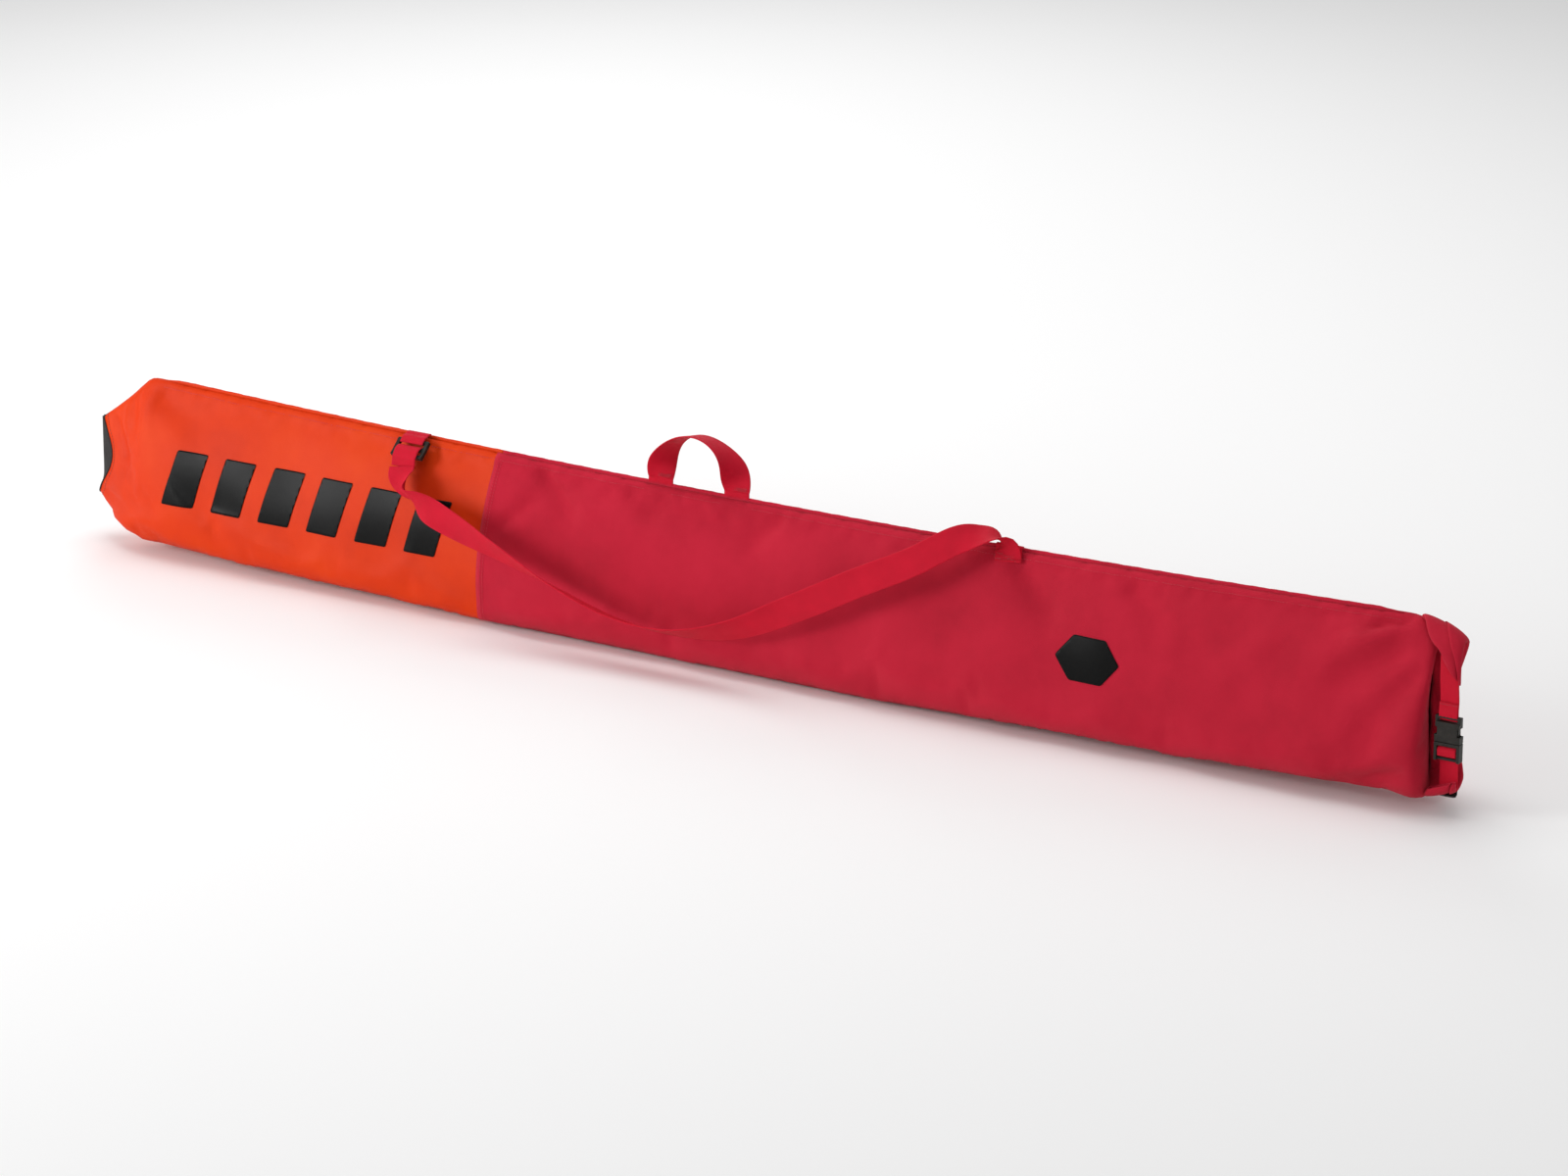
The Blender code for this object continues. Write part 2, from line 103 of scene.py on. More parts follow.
# ---- webbing, as in the frame ----
WEBBING, WEB_THICK, CLOSURE_WEB = 0.038, 0.0018, 0.025
HANDLE_XS, HANDLE_LIFT, HANDLE_TOP = (-0.133, -0.0165), 0.0085, 0.2955
LOCK_Y, LOCK_Z, LOCK_LEAN = -0.0255, 0.2146, math.radians(48)  # the ladder lock's middle, and its lean
NECK_Z = (0.030, 0.212)  # bottom and top of the mouth's neck
BASE_TOP = 0.0955  # of the buckle's male frame, below its arms
STRAP = (
    ((-0.512, -0.0455, 0.1955), (1.00, 0.00, 0.00)),
    ((-0.509, -0.0530, 0.1865), (1.00, -0.05, 0.05)),
    ((-0.500, -0.0610, 0.1750), (0.80, -0.50, 0.25)),
    ((-0.489, -0.0670, 0.1660), (0.52, -0.80, 0.30)),
    ((-0.470, -0.0715, 0.1590), (0.72, -0.38, 0.55)),
    ((-0.445, -0.0760, 0.1515), (0.80, 0.00, 0.60)),
    ((-0.405, -0.0810, 0.1400), (0.70, -0.10, 0.65)),
    ((-0.330, -0.0880, 0.1180), (0.45, -0.55, 0.65)),
    ((-0.240, -0.0930, 0.0890), (0.25, -0.85, 0.40)),
    ((-0.150, -0.0960, 0.0650), (0.12, -0.90, 0.35)),
    ((-0.060, -0.0960, 0.0590), (0.00, -0.85, 0.45)),
    ((0.030, -0.0920, 0.0770), (-0.25, -0.60, 0.70)),
    ((0.120, -0.0860, 0.1200), (-0.45, -0.20, 0.80)),
    ((0.210, -0.0760, 0.1680), (-0.50, 0.05, 0.80)),
    ((0.280, -0.0600, 0.2030), (-0.45, 0.25, 0.80)),
    ((0.330, -0.0350, 0.2335), (-0.20, 0.45, 0.80)),
)
# the strap's end twists over beside the ridge and goes down to its stitches
STRAP_END = (
    ((0.3600, -0.0190, 0.2415), (-0.45, 0.75, 0.35)),
    ((0.3770, -0.0140, 0.2400), (-0.75, 0.60, 0.12)),
    ((0.3880, -0.0120, 0.2335), (-0.96, 0.25, 0.00)),
    ((0.3920, -0.0115, 0.2255), (-1.00, 0.00, 0.00)),
)
ROLL_LINE = (
    (-0.0320, 0.1700), (-0.0310, 0.1950), (-0.0240, 0.2150), (-0.0110, 0.2230), (0.0010, 0.2130),
    (0.0050, 0.1850), (0.0060, 0.1250), (0.0050, 0.0650), (0.0000, 0.0350), (-0.0110, 0.0220),
    (-0.0230, 0.0225), (-0.0310, 0.0300), (-0.0335, 0.0410),
)


# ---- camera, floor and light ----
def studio():
    azimuth, elevation, distance = math.radians(32), math.radians(18.34), 8.0
    middle = (CAD_BOX[0] + CAD_BOX[1]) / 2
    target = Vector((middle.x + 0.065, 0, 0.113))
    back = Vector((math.sin(azimuth) * math.cos(elevation), -math.cos(azimuth) * math.cos(elevation),
                   math.sin(elevation)))
    data = bpy.data.cameras.new("photo_camera")
    data.lens = 142.8
    data.sensor_width = 36
    camera = bpy.data.objects.new("photo_camera", data)
    bpy.context.collection.objects.link(camera)
    camera.location = target + back * distance
    camera.rotation_euler = (-back).to_track_quat("-Z", "Y").to_euler()
    bpy.context.scene.camera = camera

    bpy.ops.mesh.primitive_plane_add(size=40, location=(0, 0, -0.0012))
    floor = bpy.context.object
    floor.name = "studio_floor"
    shader = new_material("studio_floor_paint")[1]
    shader.inputs["Base Color"].default_value = (0.92, 0.92, 0.92, 1)
    shader.inputs["Roughness"].default_value = 0.9
    floor.data.materials.append(bpy.data.materials["studio_floor_paint"])

    world = bpy.data.worlds.new("studio")
    world.use_nodes = True
    world.node_tree.nodes["Background"].inputs["Color"].default_value = (1, 1, 1, 1)
    world.node_tree.nodes["Background"].inputs["Strength"].default_value = 0.42
    bpy.context.scene.world = world
    bpy.context.scene.view_settings.view_transform = "Standard"
    for name, place, size, power in (
        ("key", (-3.6, -3.2, 1.3), 1.8, 150), ("fill", (3.4, -3.6, 1.8), 2.5, 14),
        ("top", (-0.4, 0.4, 3.8), 3.2, 75),
        ("rim", (-2.2, 2.8, 2.2), 1.8, 30),
    ):
        light = bpy.data.lights.new(name, "AREA")
        light.size = size
        light.energy = power
        lamp = bpy.data.objects.new(name, light)
        bpy.context.collection.objects.link(lamp)
        lamp.location = place
        lamp.rotation_euler = (Vector((0, 0, 0.1)) - lamp.location).to_track_quat("-Z", "Y").to_euler()


# ---- materials ----
def new_material(name):
    material = bpy.data.materials.new(name)
    material.use_nodes = True
    return material, material.node_tree.nodes["Principled BSDF"]


class Nodes:
    """Short names for the shader nodes that the materials share."""

    def __init__(self, material):
        self.tree = material.node_tree

    def node(self, kind, **values):
        made = self.tree.nodes.new(kind)
        for key, value in values.items():
            if hasattr(made, key):
                setattr(made, key, value)
            else:
                made.inputs[key.replace("_", " ")].default_value = value
        return made

    def link(self, a, b):
        self.tree.links.new(a, b)

    def uv(self, scale=(1, 1, 1)):
        """The cloth's own metres, from the UV map, times a scale."""
        source = self.node("ShaderNodeUVMap", uv_map="metres")
        mapping = self.node("ShaderNodeMapping")
        mapping.inputs["Scale"].default_value = scale
        self.link(source.outputs["UV"], mapping.inputs["Vector"])
        return mapping.outputs["Vector"]

    def place(self, scale=(1, 1, 1)):
        source = self.node("ShaderNodeTexCoord")
        mapping = self.node("ShaderNodeMapping")
        mapping.inputs["Scale"].default_value = scale
        self.link(source.outputs["Object"], mapping.inputs["Vector"])
        return mapping.outputs["Vector"]

    def noise(self, vector, scale, detail=3.0, roughness=0.55):
        made = self.node("ShaderNodeTexNoise", Scale=scale, Detail=detail, Roughness=roughness)
        self.link(vector, made.inputs["Vector"])
        return made.outputs["Fac"]

    def wave(self, vector, scale, direction, distortion=0.0):
        made = self.node("ShaderNodeTexWave", Scale=scale, Distortion=distortion)
        made.bands_direction = direction
        self.link(vector, made.inputs["Vector"])
        return made.outputs["Fac"]

    def math(self, operation, a, b):
        made = self.node("ShaderNodeMath", operation=operation)
        for socket, value in zip(made.inputs, (a, b)):
            if isinstance(value, (int, float)):
                socket.default_value = value
            else:
                self.link(value, socket)
        return made.outputs[0]

    def ramp(self, fac, stops):
        made = self.node("ShaderNodeValToRGB")
        elements = made.color_ramp.elements
        while len(elements) < len(stops):
            elements.new(0.5)
        for element, (position, colour) in zip(elements, stops):
            element.position = position
            element.color = (*colour, 1)
        self.link(fac, made.inputs["Fac"])
        return made.outputs["Color"]

    def range(self, fac, low, high):
        made = self.node("ShaderNodeMapRange")
        made.inputs["To Min"].default_value = low
        made.inputs["To Max"].default_value = high
        self.link(fac, made.inputs["Value"])
        return made.outputs["Result"]

    def bump(self, height, distance, strength=1.0, normal=None):
        made = self.node("ShaderNodeBump", Strength=strength, Distance=distance)
        self.link(height, made.inputs["Height"])
        if normal:
            self.link(normal, made.inputs["Normal"])
        return made.outputs["Normal"]


def plain_weave(nodes, vector, pitch):
    """Height of a plain weave: warp and weft cross over and under."""
    bands = 2 * math.pi / 20 / pitch * 3.18
    warp, weft = nodes.wave(vector, bands, "X"), nodes.wave(vector, bands, "Y")
    return nodes.math("ABSOLUTE", nodes.math("SUBTRACT", warp, weft), 0)


def woven_cloth(name, dark, mid, light, pitch=0.0011, rough=(0.72, 0.86), sheen=0.06):
    material, shader = new_material(name)
    nodes = Nodes(material)
    metres = nodes.uv()
    broad = nodes.noise(metres, 9, 4, 0.6)
    fine = nodes.noise(metres, 900, 2, 0.7)
    mixed = nodes.math("ADD", nodes.math("MULTIPLY", broad, 0.55), nodes.math("MULTIPLY", fine, 0.45))
    nodes.link(nodes.ramp(mixed, ((0.30, dark), (0.50, mid), (0.70, light))), shader.inputs["Base Color"])
    nodes.link(nodes.range(fine, *rough), shader.inputs["Roughness"])
    weave = plain_weave(nodes, metres, pitch)
    crumple = nodes.noise(metres, 42, 5, 0.6)
    normal = nodes.bump(crumple, 0.0025, 0.35)
    nodes.link(nodes.bump(weave, 0.00025, 0.5, normal), shader.inputs["Normal"])
    shader.inputs["Sheen Weight"].default_value = sheen
    shader.inputs["Sheen Roughness"].default_value = 0.45
    shader.inputs["Specular IOR Level"].default_value = 0.18
    return material


def coated_cloth(name, dark, mid, light):
    """Smooth coating over cloth: satin, faint rubbed streaks, a hint of the weave below."""
    material, shader = new_material(name)
    nodes = Nodes(material)
    metres = nodes.uv()
    broad = nodes.noise(metres, 7, 4, 0.55)
    grain = nodes.noise(metres, 700, 2, 0.6)
    mixed = nodes.math("ADD", nodes.math("MULTIPLY", broad, 0.8), nodes.math("MULTIPLY", grain, 0.2))
    nodes.link(nodes.ramp(mixed, ((0.28, dark), (0.5, mid), (0.72, light))), shader.inputs["Base Color"])
    rubbed = nodes.noise(nodes.uv((30, 400, 1)), 1.0, 4, 0.7)
    nodes.link(nodes.range(rubbed, 0.42, 0.60), shader.inputs["Roughness"])
    crumple = nodes.noise(metres, 30, 5, 0.6)
    normal = nodes.bump(crumple, 0.002, 0.3)
    nodes.link(nodes.bump(plain_weave(nodes, metres, 0.0009), 0.00012, 0.35, normal), shader.inputs["Normal"])
    shader.inputs["Specular IOR Level"].default_value = 0.12
    shader.inputs["Sheen Weight"].default_value = 0.01
    return material


def webbing(name, dark, mid, light):
    """Ribbed webbing: cords along it, crossed by fine picks; U runs across and V along."""
    material, shader = new_material(name)
    nodes = Nodes(material)
    metres = nodes.uv()
    cords = nodes.wave(metres, 2 * math.pi / 20 / 0.0024 * 3.18, "X")
    picks = nodes.wave(metres, 2 * math.pi / 20 / 0.0015 * 3.18, "Y")
    fine = nodes.noise(metres, 700, 2, 0.7)
    broad = nodes.noise(metres, 25, 3, 0.6)
    tone = nodes.math("ADD", nodes.math("MULTIPLY", cords, 0.25), nodes.math("MULTIPLY", fine, 0.35))
    tone = nodes.math("ADD", tone, nodes.math("MULTIPLY", broad, 0.40))
    nodes.link(nodes.ramp(tone, ((0.25, dark), (0.5, mid), (0.75, light))), shader.inputs["Base Color"])
    height = nodes.math("ADD", nodes.math("MULTIPLY", cords, 0.7), nodes.math("MULTIPLY", picks, 0.3))
    nodes.link(nodes.bump(height, 0.0004, 0.7), shader.inputs["Normal"])
    nodes.link(nodes.range(fine, 0.55, 0.72), shader.inputs["Roughness"])
    shader.inputs["Sheen Weight"].default_value = 0.02
    shader.inputs["Sheen Roughness"].default_value = 0.4
    shader.inputs["Specular IOR Level"].default_value = 0.15
    return material


def print_film():
    """Printed film: glossy black, crackled and finely scratched to grey."""
    material, shader = new_material("print_film")
    nodes = Nodes(material)
    scratch = nodes.noise(nodes.uv((60, 900, 1)), 1.0, 5, 0.75)
    crossing = nodes.noise(nodes.uv((700, 90, 1)), 1.0, 5, 0.75)
    worn = nodes.math("MULTIPLY", scratch, crossing)
    nodes.link(nodes.ramp(worn, ((0.26, (0.003, 0.003, 0.003)), (0.40, (0.006, 0.006, 0.005)),
                                 (0.56, (0.10, 0.075, 0.06)))), shader.inputs["Base Color"])
    nodes.link(nodes.range(worn, 0.22, 0.60), shader.inputs["Roughness"])
    nodes.link(nodes.bump(scratch, 0.0004, 0.4), shader.inputs["Normal"])
    shader.inputs["Specular IOR Level"].default_value = 0.08
    return material


def moulded_plastic():
    """Satin acetal with a fine moulded grain and rubbed patches."""
    material, shader = new_material("buckle_black")
    nodes = Nodes(material)
    place = nodes.place()
    grain = nodes.noise(place, 1800, 2, 0.6)
    patch = nodes.noise(place, 120, 3, 0.6)
    nodes.link(nodes.ramp(patch, ((0.3, (0.012, 0.011, 0.009)), (0.55, (0.018, 0.016, 0.013)),
                                  (0.75, (0.030, 0.027, 0.023)))), shader.inputs["Base Color"])
    nodes.link(nodes.range(patch, 0.34, 0.52), shader.inputs["Roughness"])
    nodes.link(nodes.bump(grain, 0.0001, 0.4), shader.inputs["Normal"])
    shader.inputs["Specular IOR Level"].default_value = 0.25
    return material


def thread(name, colour):
    material, shader = new_material(name)
    nodes = Nodes(material)
    twist = nodes.noise(nodes.place(), 2500, 2, 0.6)
    nodes.link(nodes.ramp(twist, ((0.3, tuple(c * 0.7 for c in colour)), (0.7, colour))),
               shader.inputs["Base Color"])
    shader.inputs["Roughness"].default_value = 0.6
    shader.inputs["Sheen Weight"].default_value = 0.2
    return material


# ---- mesh helpers ----
def curve(points, steps):
    """A Catmull-Rom curve through the points, as an array, with this many steps between two of them."""
    p = np.asarray(points, float)
    p = np.vstack([2 * p[0] - p[1], p, 2 * p[-1] - p[-2]])
    line = []
    for a, b, c, d in zip(p, p[1:], p[2:], p[3:]):
        t = (np.arange(steps) / steps)[:, None]
        line.append(b + (c - a) * t / 2 + (2 * a - 5 * b + 4 * c - d) * t**2 / 2
                    + (3 * b - a - 3 * c + d) * t**3 / 2)
    return np.vstack([*line, p[-2]])


def resample(line, step, key=3):
    """Points at an even distance along a line; key columns measure the distance."""
    far = np.concatenate([[0], np.cumsum(np.linalg.norm(np.diff(line[:, :key], axis=0), axis=1))])
    at = np.linspace(0, far[-1], max(3, int(round(far[-1] / step)) + 1))
    return np.stack([np.interp(at, far, column) for column in line.T], axis=1)


def unit(v):
    return v / np.maximum(np.linalg.norm(v, axis=-1, keepdims=True), 1e-12)


def smoothstep(x):
    x = np.clip(x, 0, 1)
    return x * x * (3 - 2 * x)


def surface(name, grid, material, wrap=False, caps=False):
    """A quad mesh over a grid of points, with UVs in metres: U along a row's points, V from row to row."""
    rows, columns = grid.shape[:2]
    mesh = bpy.data.meshes.new(name)
    faces = []
    span = columns if wrap else columns - 1
    for i in range(rows - 1):
        for j in range(span):
            k = (j + 1) % columns
            faces.append((i * columns + j, i * columns + k, (i + 1) * columns + k, (i + 1) * columns + j))
    count = len(faces)
    if caps:
        faces.append(tuple(reversed(range(columns))))
        faces.append(tuple(range((rows - 1) * columns, rows * columns)))
    mesh.from_pydata(grid.reshape(-1, 3).tolist(), [], faces)
    closed = np.concatenate([grid, grid[:, :1]], axis=1) if wrap else grid
    across = np.concatenate([[0], np.cumsum(np.linalg.norm(np.diff(closed, axis=1), axis=2).mean(0))])
    along = np.concatenate([[0], np.cumsum(np.linalg.norm(np.diff(grid, axis=0), axis=2).mean(1))])
    layer = mesh.uv_layers.new(name="metres")
    uv = np.zeros((len(mesh.loops), 2))
    i, j = np.divmod(np.arange(count), span)
    for corner, (di, dj) in enumerate(((0, 0), (0, 1), (1, 1), (1, 0))):
        uv[np.arange(count) * 4 + corner] = np.stack([across[j + dj], along[i + di]], axis=1)
    layer.data.foreach_set("uv", uv.ravel())
    mesh.materials.append(material)
    mesh.shade_smooth()
    obj = bpy.data.objects.new(name, mesh)
    bpy.context.collection.objects.link(obj)
    return obj


def face_out(obj):
    """Turns the faces of a closed mesh outwards."""
    bm = bmesh.new()
    bm.from_mesh(obj.data)
    bmesh.ops.recalc_face_normals(bm, faces=bm.faces)
    bm.to_mesh(obj.data)
    bm.free()
    return obj


def points_of(obj):
    co = np.empty(len(obj.data.vertices) * 3)
    obj.data.vertices.foreach_get("co", co)
    return co.reshape(-1, 3)


def set_points(obj, co):
    obj.data.vertices.foreach_set("co", np.asarray(co, np.float32).ravel())
    obj.data.update()


def thicken(obj, depth, offset=-1):
    modifier = obj.modifiers.new("Thickness", "SOLIDIFY")
    modifier.thickness = depth
    modifier.offset = offset
    return modifier


def web_frame(line, sides):
    """The unit tangent, the unit way across and the unit normal at each point of a line."""
    along = unit(np.gradient(line, axis=0))
    across = unit(sides - along * np.sum(sides * along, axis=1, keepdims=True))
    return along, across, np.cross(along, across)


def web_profile(width, thick, edge=6, flat=14):
    """(across, up) points round a strip of webbing with softly rounded selvedges."""
    half, r = width / 2, thick / 2
    top = [(x, r * (1 - 0.10 * math.cos(2 * math.pi * x / 0.0048)))
           for x in np.linspace(half - r, -half + r, flat)]
    left = [(-half + r - r * math.sin(a), r * math.cos(a)) for a in np.linspace(0, math.pi, edge)[1:-1]]
    bottom = [(-x, -y) for x, y in top]
    right = [(-x, -y) for x, y in left]
    return np.array(top + left + bottom + right)


def web_strip(name, line, sides, width, thick, material, step=0.004, ripple=0.0, seed=0):
    """A strip of webbing along a line; sides give the way its width runs."""
    both = resample(np.hstack([line, sides]), step)
    line, sides = both[:, :3], both[:, 3:]
    _, across, normal = web_frame(line, sides)
    profile = web_profile(width, thick)
    n = len(line)
    wobble = np.zeros(n)
    if ripple:
        phases = np.random.default_rng(seed).uniform(0, 2 * math.pi, 3)
        far = np.arange(n) * step
        for wave, phase in zip((0.11, 0.19, 0.31), phases):
            wobble += np.sin(2 * math.pi * far / wave + phase) / 3
    curl = 1 - np.abs(profile[:, 0]) / (width / 2)
    grid = (line[:, None] + across[:, None] * profile[None, :, :1] + normal[:, None] * profile[None, :, 1:]
            + normal[:, None] * (ripple * wobble)[:, None, None] * (curl[None, :, None] - 0.5))
    return face_out(surface(name, grid, material, wrap=True, caps=True))


def stitches(name, starts, ways, normals, material, length=0.0026, radius=0.00032):
    """Sewing stitches: one small spindle of thread for each start point, lying along its way."""
    bm = bmesh.new()
    for start, way, normal in zip(starts, unit(np.asarray(ways)), unit(np.asarray(normals))):
        side = np.cross(way, normal)
        rings = []
        for s, fat, sink in ((0.0, 0.35, 0.0), (0.22, 1.0, 0.75), (0.78, 1.0, 0.75), (1.0, 0.35, 0.0)):
            centre = start + way * length * (s - 0.5) + normal * radius * sink
            rings.append([bm.verts.new(centre + (side * math.cos(a) + normal * math.sin(a)) * radius * fat)
                          for a in (2 * math.pi * k / 5 for k in range(5))])
        for low, high in zip(rings, rings[1:]):
            for k in range(5):
                bm.faces.new((low[k], low[(k + 1) % 5], high[(k + 1) % 5], high[k]))
        bm.faces.new(rings[0][::-1])
        bm.faces.new(rings[-1])
    mesh = bpy.data.meshes.new(name)
    bmesh.ops.recalc_face_normals(bm, faces=bm.faces)
    bm.to_mesh(mesh)
    bm.free()
    mesh.materials.append(material)
    mesh.shade_smooth()
    obj = bpy.data.objects.new(name, mesh)
    bpy.context.collection.objects.link(obj)
    return obj


def rides(obj, body, slot, *nodes):
    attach(obj, body)
    if nodes:
        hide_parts(*nodes)
    return obj


# ---- the sleeve ----
def sleeve_row(x):
    lift = np.clip((np.abs(x) - FLAT_X) / (CORNER_X - FLAT_X), 0, 1)
    return (x, RIDGE_MID + RIDGE_RISE * (x / CORNER_X) ** 2, END_LIFT * lift**2, FULL - 0.004 * lift**2)


def body_rows():
    """(x, ridge, bottom, half thickness) every ROW_STEP, with one row on the colour seam."""
    middle = [sleeve_row(x) for x in np.linspace(-0.90, 0.90, 25)]
    line = curve([*TAIL_ROWS, *middle, *MOUTH_ROWS], 24)
    x = line[:, 0]
    line[:, 2] += 0.0075 * smoothstep((x - 0.15) / 0.35) * smoothstep((0.975 - x) / 0.045)
    line[:, 2] += 0.0035 * smoothstep((-0.35 - x) / 0.20) * smoothstep((x + 0.97) / 0.05)
    at = int(np.argmin(np.abs(x - SEAM_X)))
    line[at, 0] = SEAM_X
    key = np.column_stack([line[:, 0], line[:, 3], line])
    low, high = resample(key[: at + 1], ROW_STEP, 2), resample(key[at:], ROW_STEP, 2)
    return np.vstack([low, high[1:]])[:, 2:], len(low) - 1


def pear(t):
    return np.maximum(1 - t, 0) ** 0.75 * (t + 0.02) ** 0.3 / 0.55


def section_spots():
    """(height share, side) round the sleeve: bottom middle, up the front to the ridge, down the back."""
    t = np.linspace(0, 1, 2001)
    y, z = FULL * pear(t), 0.225 * t
    far = np.concatenate([[0], np.cumsum(np.hypot(np.diff(y), np.diff(z)))])
    side = AROUND // 2 - 4
    heights = np.interp(np.linspace(0, far[-1], side + 1), far, t)
    front = [(h, -1) for h in heights]
    back = [(h, 1) for h in heights[-2::-1]]
    floor = [(0, s) for s in np.linspace(1, -1, 9)[1:-1]]
    return np.array(front + back + floor), side


def body_grid():
    rows, seam_row = body_rows()
    spots, ridge_column = section_spots()
    height, side = spots[:, 0], spots[:, 1]
    x, ridge, bottom, full = (rows[:, k][:, None] for k in range(4))
    y = side * full * pear(height)
    z = bottom + (ridge - bottom) * height
    # the tail seam bows towards the bag at mid height, so the black patch shows on the faces
    tail = smoothstep(1 - (x - TAIL_X) / 0.10)
    bowed = x + TAIL_BOW * tail * np.sin(math.pi * height) ** 1.3
    return np.stack([bowed, y, z], axis=2), seam_row, ridge_column


def grid_normals(grid):
    down = np.gradient(grid, axis=0)
    around = (np.roll(grid, -1, axis=1) - np.roll(grid, 1, axis=1)) / 2
    normal = unit(np.cross(around, down))
    centre = grid.mean(axis=1, keepdims=True)
    flip = np.sign(np.sum(normal * (grid - centre), axis=2, keepdims=True).mean(axis=1, keepdims=True))
    return normal * np.where(flip == 0, 1, flip)


# Creases: (from (x, z), to (x, z), half width, depth, side); depth below 0 sinks in
CREASES = (
    ((0.958, 0.234), (0.890, 0.212), 0.0055, -0.0070, -1),
    ((0.945, 0.225), (0.870, 0.196), 0.009, 0.0035, -1),
    ((-0.325, 0.217), (-0.245, 0.160), 0.010, -0.0045, -1),
    ((-0.300, 0.214), (-0.210, 0.175), 0.009, 0.0030, -1),
    ((-0.365, 0.135), (-0.300, 0.190), 0.010, -0.0030, -1),
    ((-0.190, 0.215), (-0.120, 0.180), 0.010, -0.0035, -1),
    ((0.060, 0.214), (0.010, 0.170), 0.012, -0.0035, -1),
    ((0.400, 0.216), (0.480, 0.150), 0.014, -0.0045, -1),
    ((0.560, 0.215), (0.640, 0.160), 0.014, -0.0035, -1),
    ((0.950, 0.236), (0.800, 0.222), 0.007, -0.0030, -1),
    ((0.962, 0.205), (0.845, 0.135), 0.020, -0.0050, -1),
    ((0.975, 0.180), (0.900, 0.080), 0.018, -0.0045, -1),
    ((0.965, 0.050), (0.860, 0.020), 0.012, -0.0040, -1),
    ((0.930, 0.215), (0.835, 0.165), 0.016, 0.0040, -1),
    ((0.640, 0.175), (0.760, 0.100), 0.028, -0.0030, -1),
    ((0.780, 0.190), (0.700, 0.110), 0.024, 0.0025, -1),
    ((-1.020, 0.176), (-0.975, 0.120), 0.010, -0.0040, -1),
    ((-1.000, 0.205), (-0.985, 0.165), 0.007, 0.0030, -1),
    ((-1.012, 0.045), (-0.968, 0.030), 0.008, 0.0035, -1),
    ((-1.035, 0.070), (-0.950, 0.060), 0.012, -0.0030, -1),
    ((-0.945, 0.225), (-0.840, 0.180), 0.020, -0.0025, -1),
    ((-0.300, 0.205), (0.080, 0.190), 0.020, -0.0035, -1),
    ((-0.330, 0.120), (-0.120, 0.060), 0.030, -0.0025, -1),
    ((0.200, 0.060), (0.480, 0.110), 0.030, 0.0020, -1),
    ((0.955, 0.230), (0.870, 0.180), 0.014, -0.0060, 1),
    ((0.970, 0.060), (0.850, 0.050), 0.016, -0.0050, 1),
    ((0.400, 0.190), (0.640, 0.120), 0.030, -0.0035, 1),
    ((-0.250, 0.060), (0.060, 0.150), 0.035, -0.0030, 1),
    ((-0.700, 0.180), (-0.520, 0.100), 0.030, -0.0035, 1),
    ((-1.015, 0.170), (-0.960, 0.110), 0.012, -0.0040, 1),
)


def pressed(grid, amount):
    """The grid with its creases pressed in by this share of their depth."""
    normal = grid_normals(grid)
    x, y, z = grid[..., 0], grid[..., 1], grid[..., 2]
    lift = np.zeros(x.shape)
    for (x0, z0), (x1, z1), width, depth, side in CREASES:
        dx, dz = x1 - x0, z1 - z0
        length = math.hypot(dx, dz)
        s = ((x - x0) * dx + (z - z0) * dz) / length**2
        off = ((x - x0) * dz - (z - z0) * dx) / length
        taper = smoothstep((s + 0.15) / 0.35) * smoothstep((1.15 - s) / 0.45)
        spread = width * (0.6 + 0.9 * np.clip(s, 0, 1))
        lift += amount * depth * np.exp(-((off / spread) ** 2)) * taper * (y * side > 0)
    free = smoothstep(z / 0.03) * smoothstep((z.max(axis=1, keepdims=True) - z) / 0.012)
    return grid + normal * (lift * free)[..., None]


def waved(grid):
    """The grid with broad waves that differ on the two faces, and small puckers below the ridge seam."""
    normal = grid_normals(grid)
    x, y, z = grid[..., 0], grid[..., 1], grid[..., 2]
    phase = np.where(y < 0, 0.0, 2.1)
    top = np.exp(-(((z.max(axis=1, keepdims=True) - z) / 0.020) ** 2))
    lift = 0.0016 * np.sin(2 * math.pi * x / 0.37 + 6 * z + phase) * np.sin(2 * math.pi * z / 0.21 + phase)
    lift += 0.0009 * np.sin(2 * math.pi * x / 0.145 + 14 * z + 1.3 + phase)
    lift += 0.0007 * top * np.sin(2 * math.pi * x / 0.023 + 2.2 * np.sin(x * 31) + phase)
    free = smoothstep(z / 0.03) * smoothstep((z.max(axis=1, keepdims=True) - z) / 0.012)
    return grid + normal * (lift * free)[..., None]


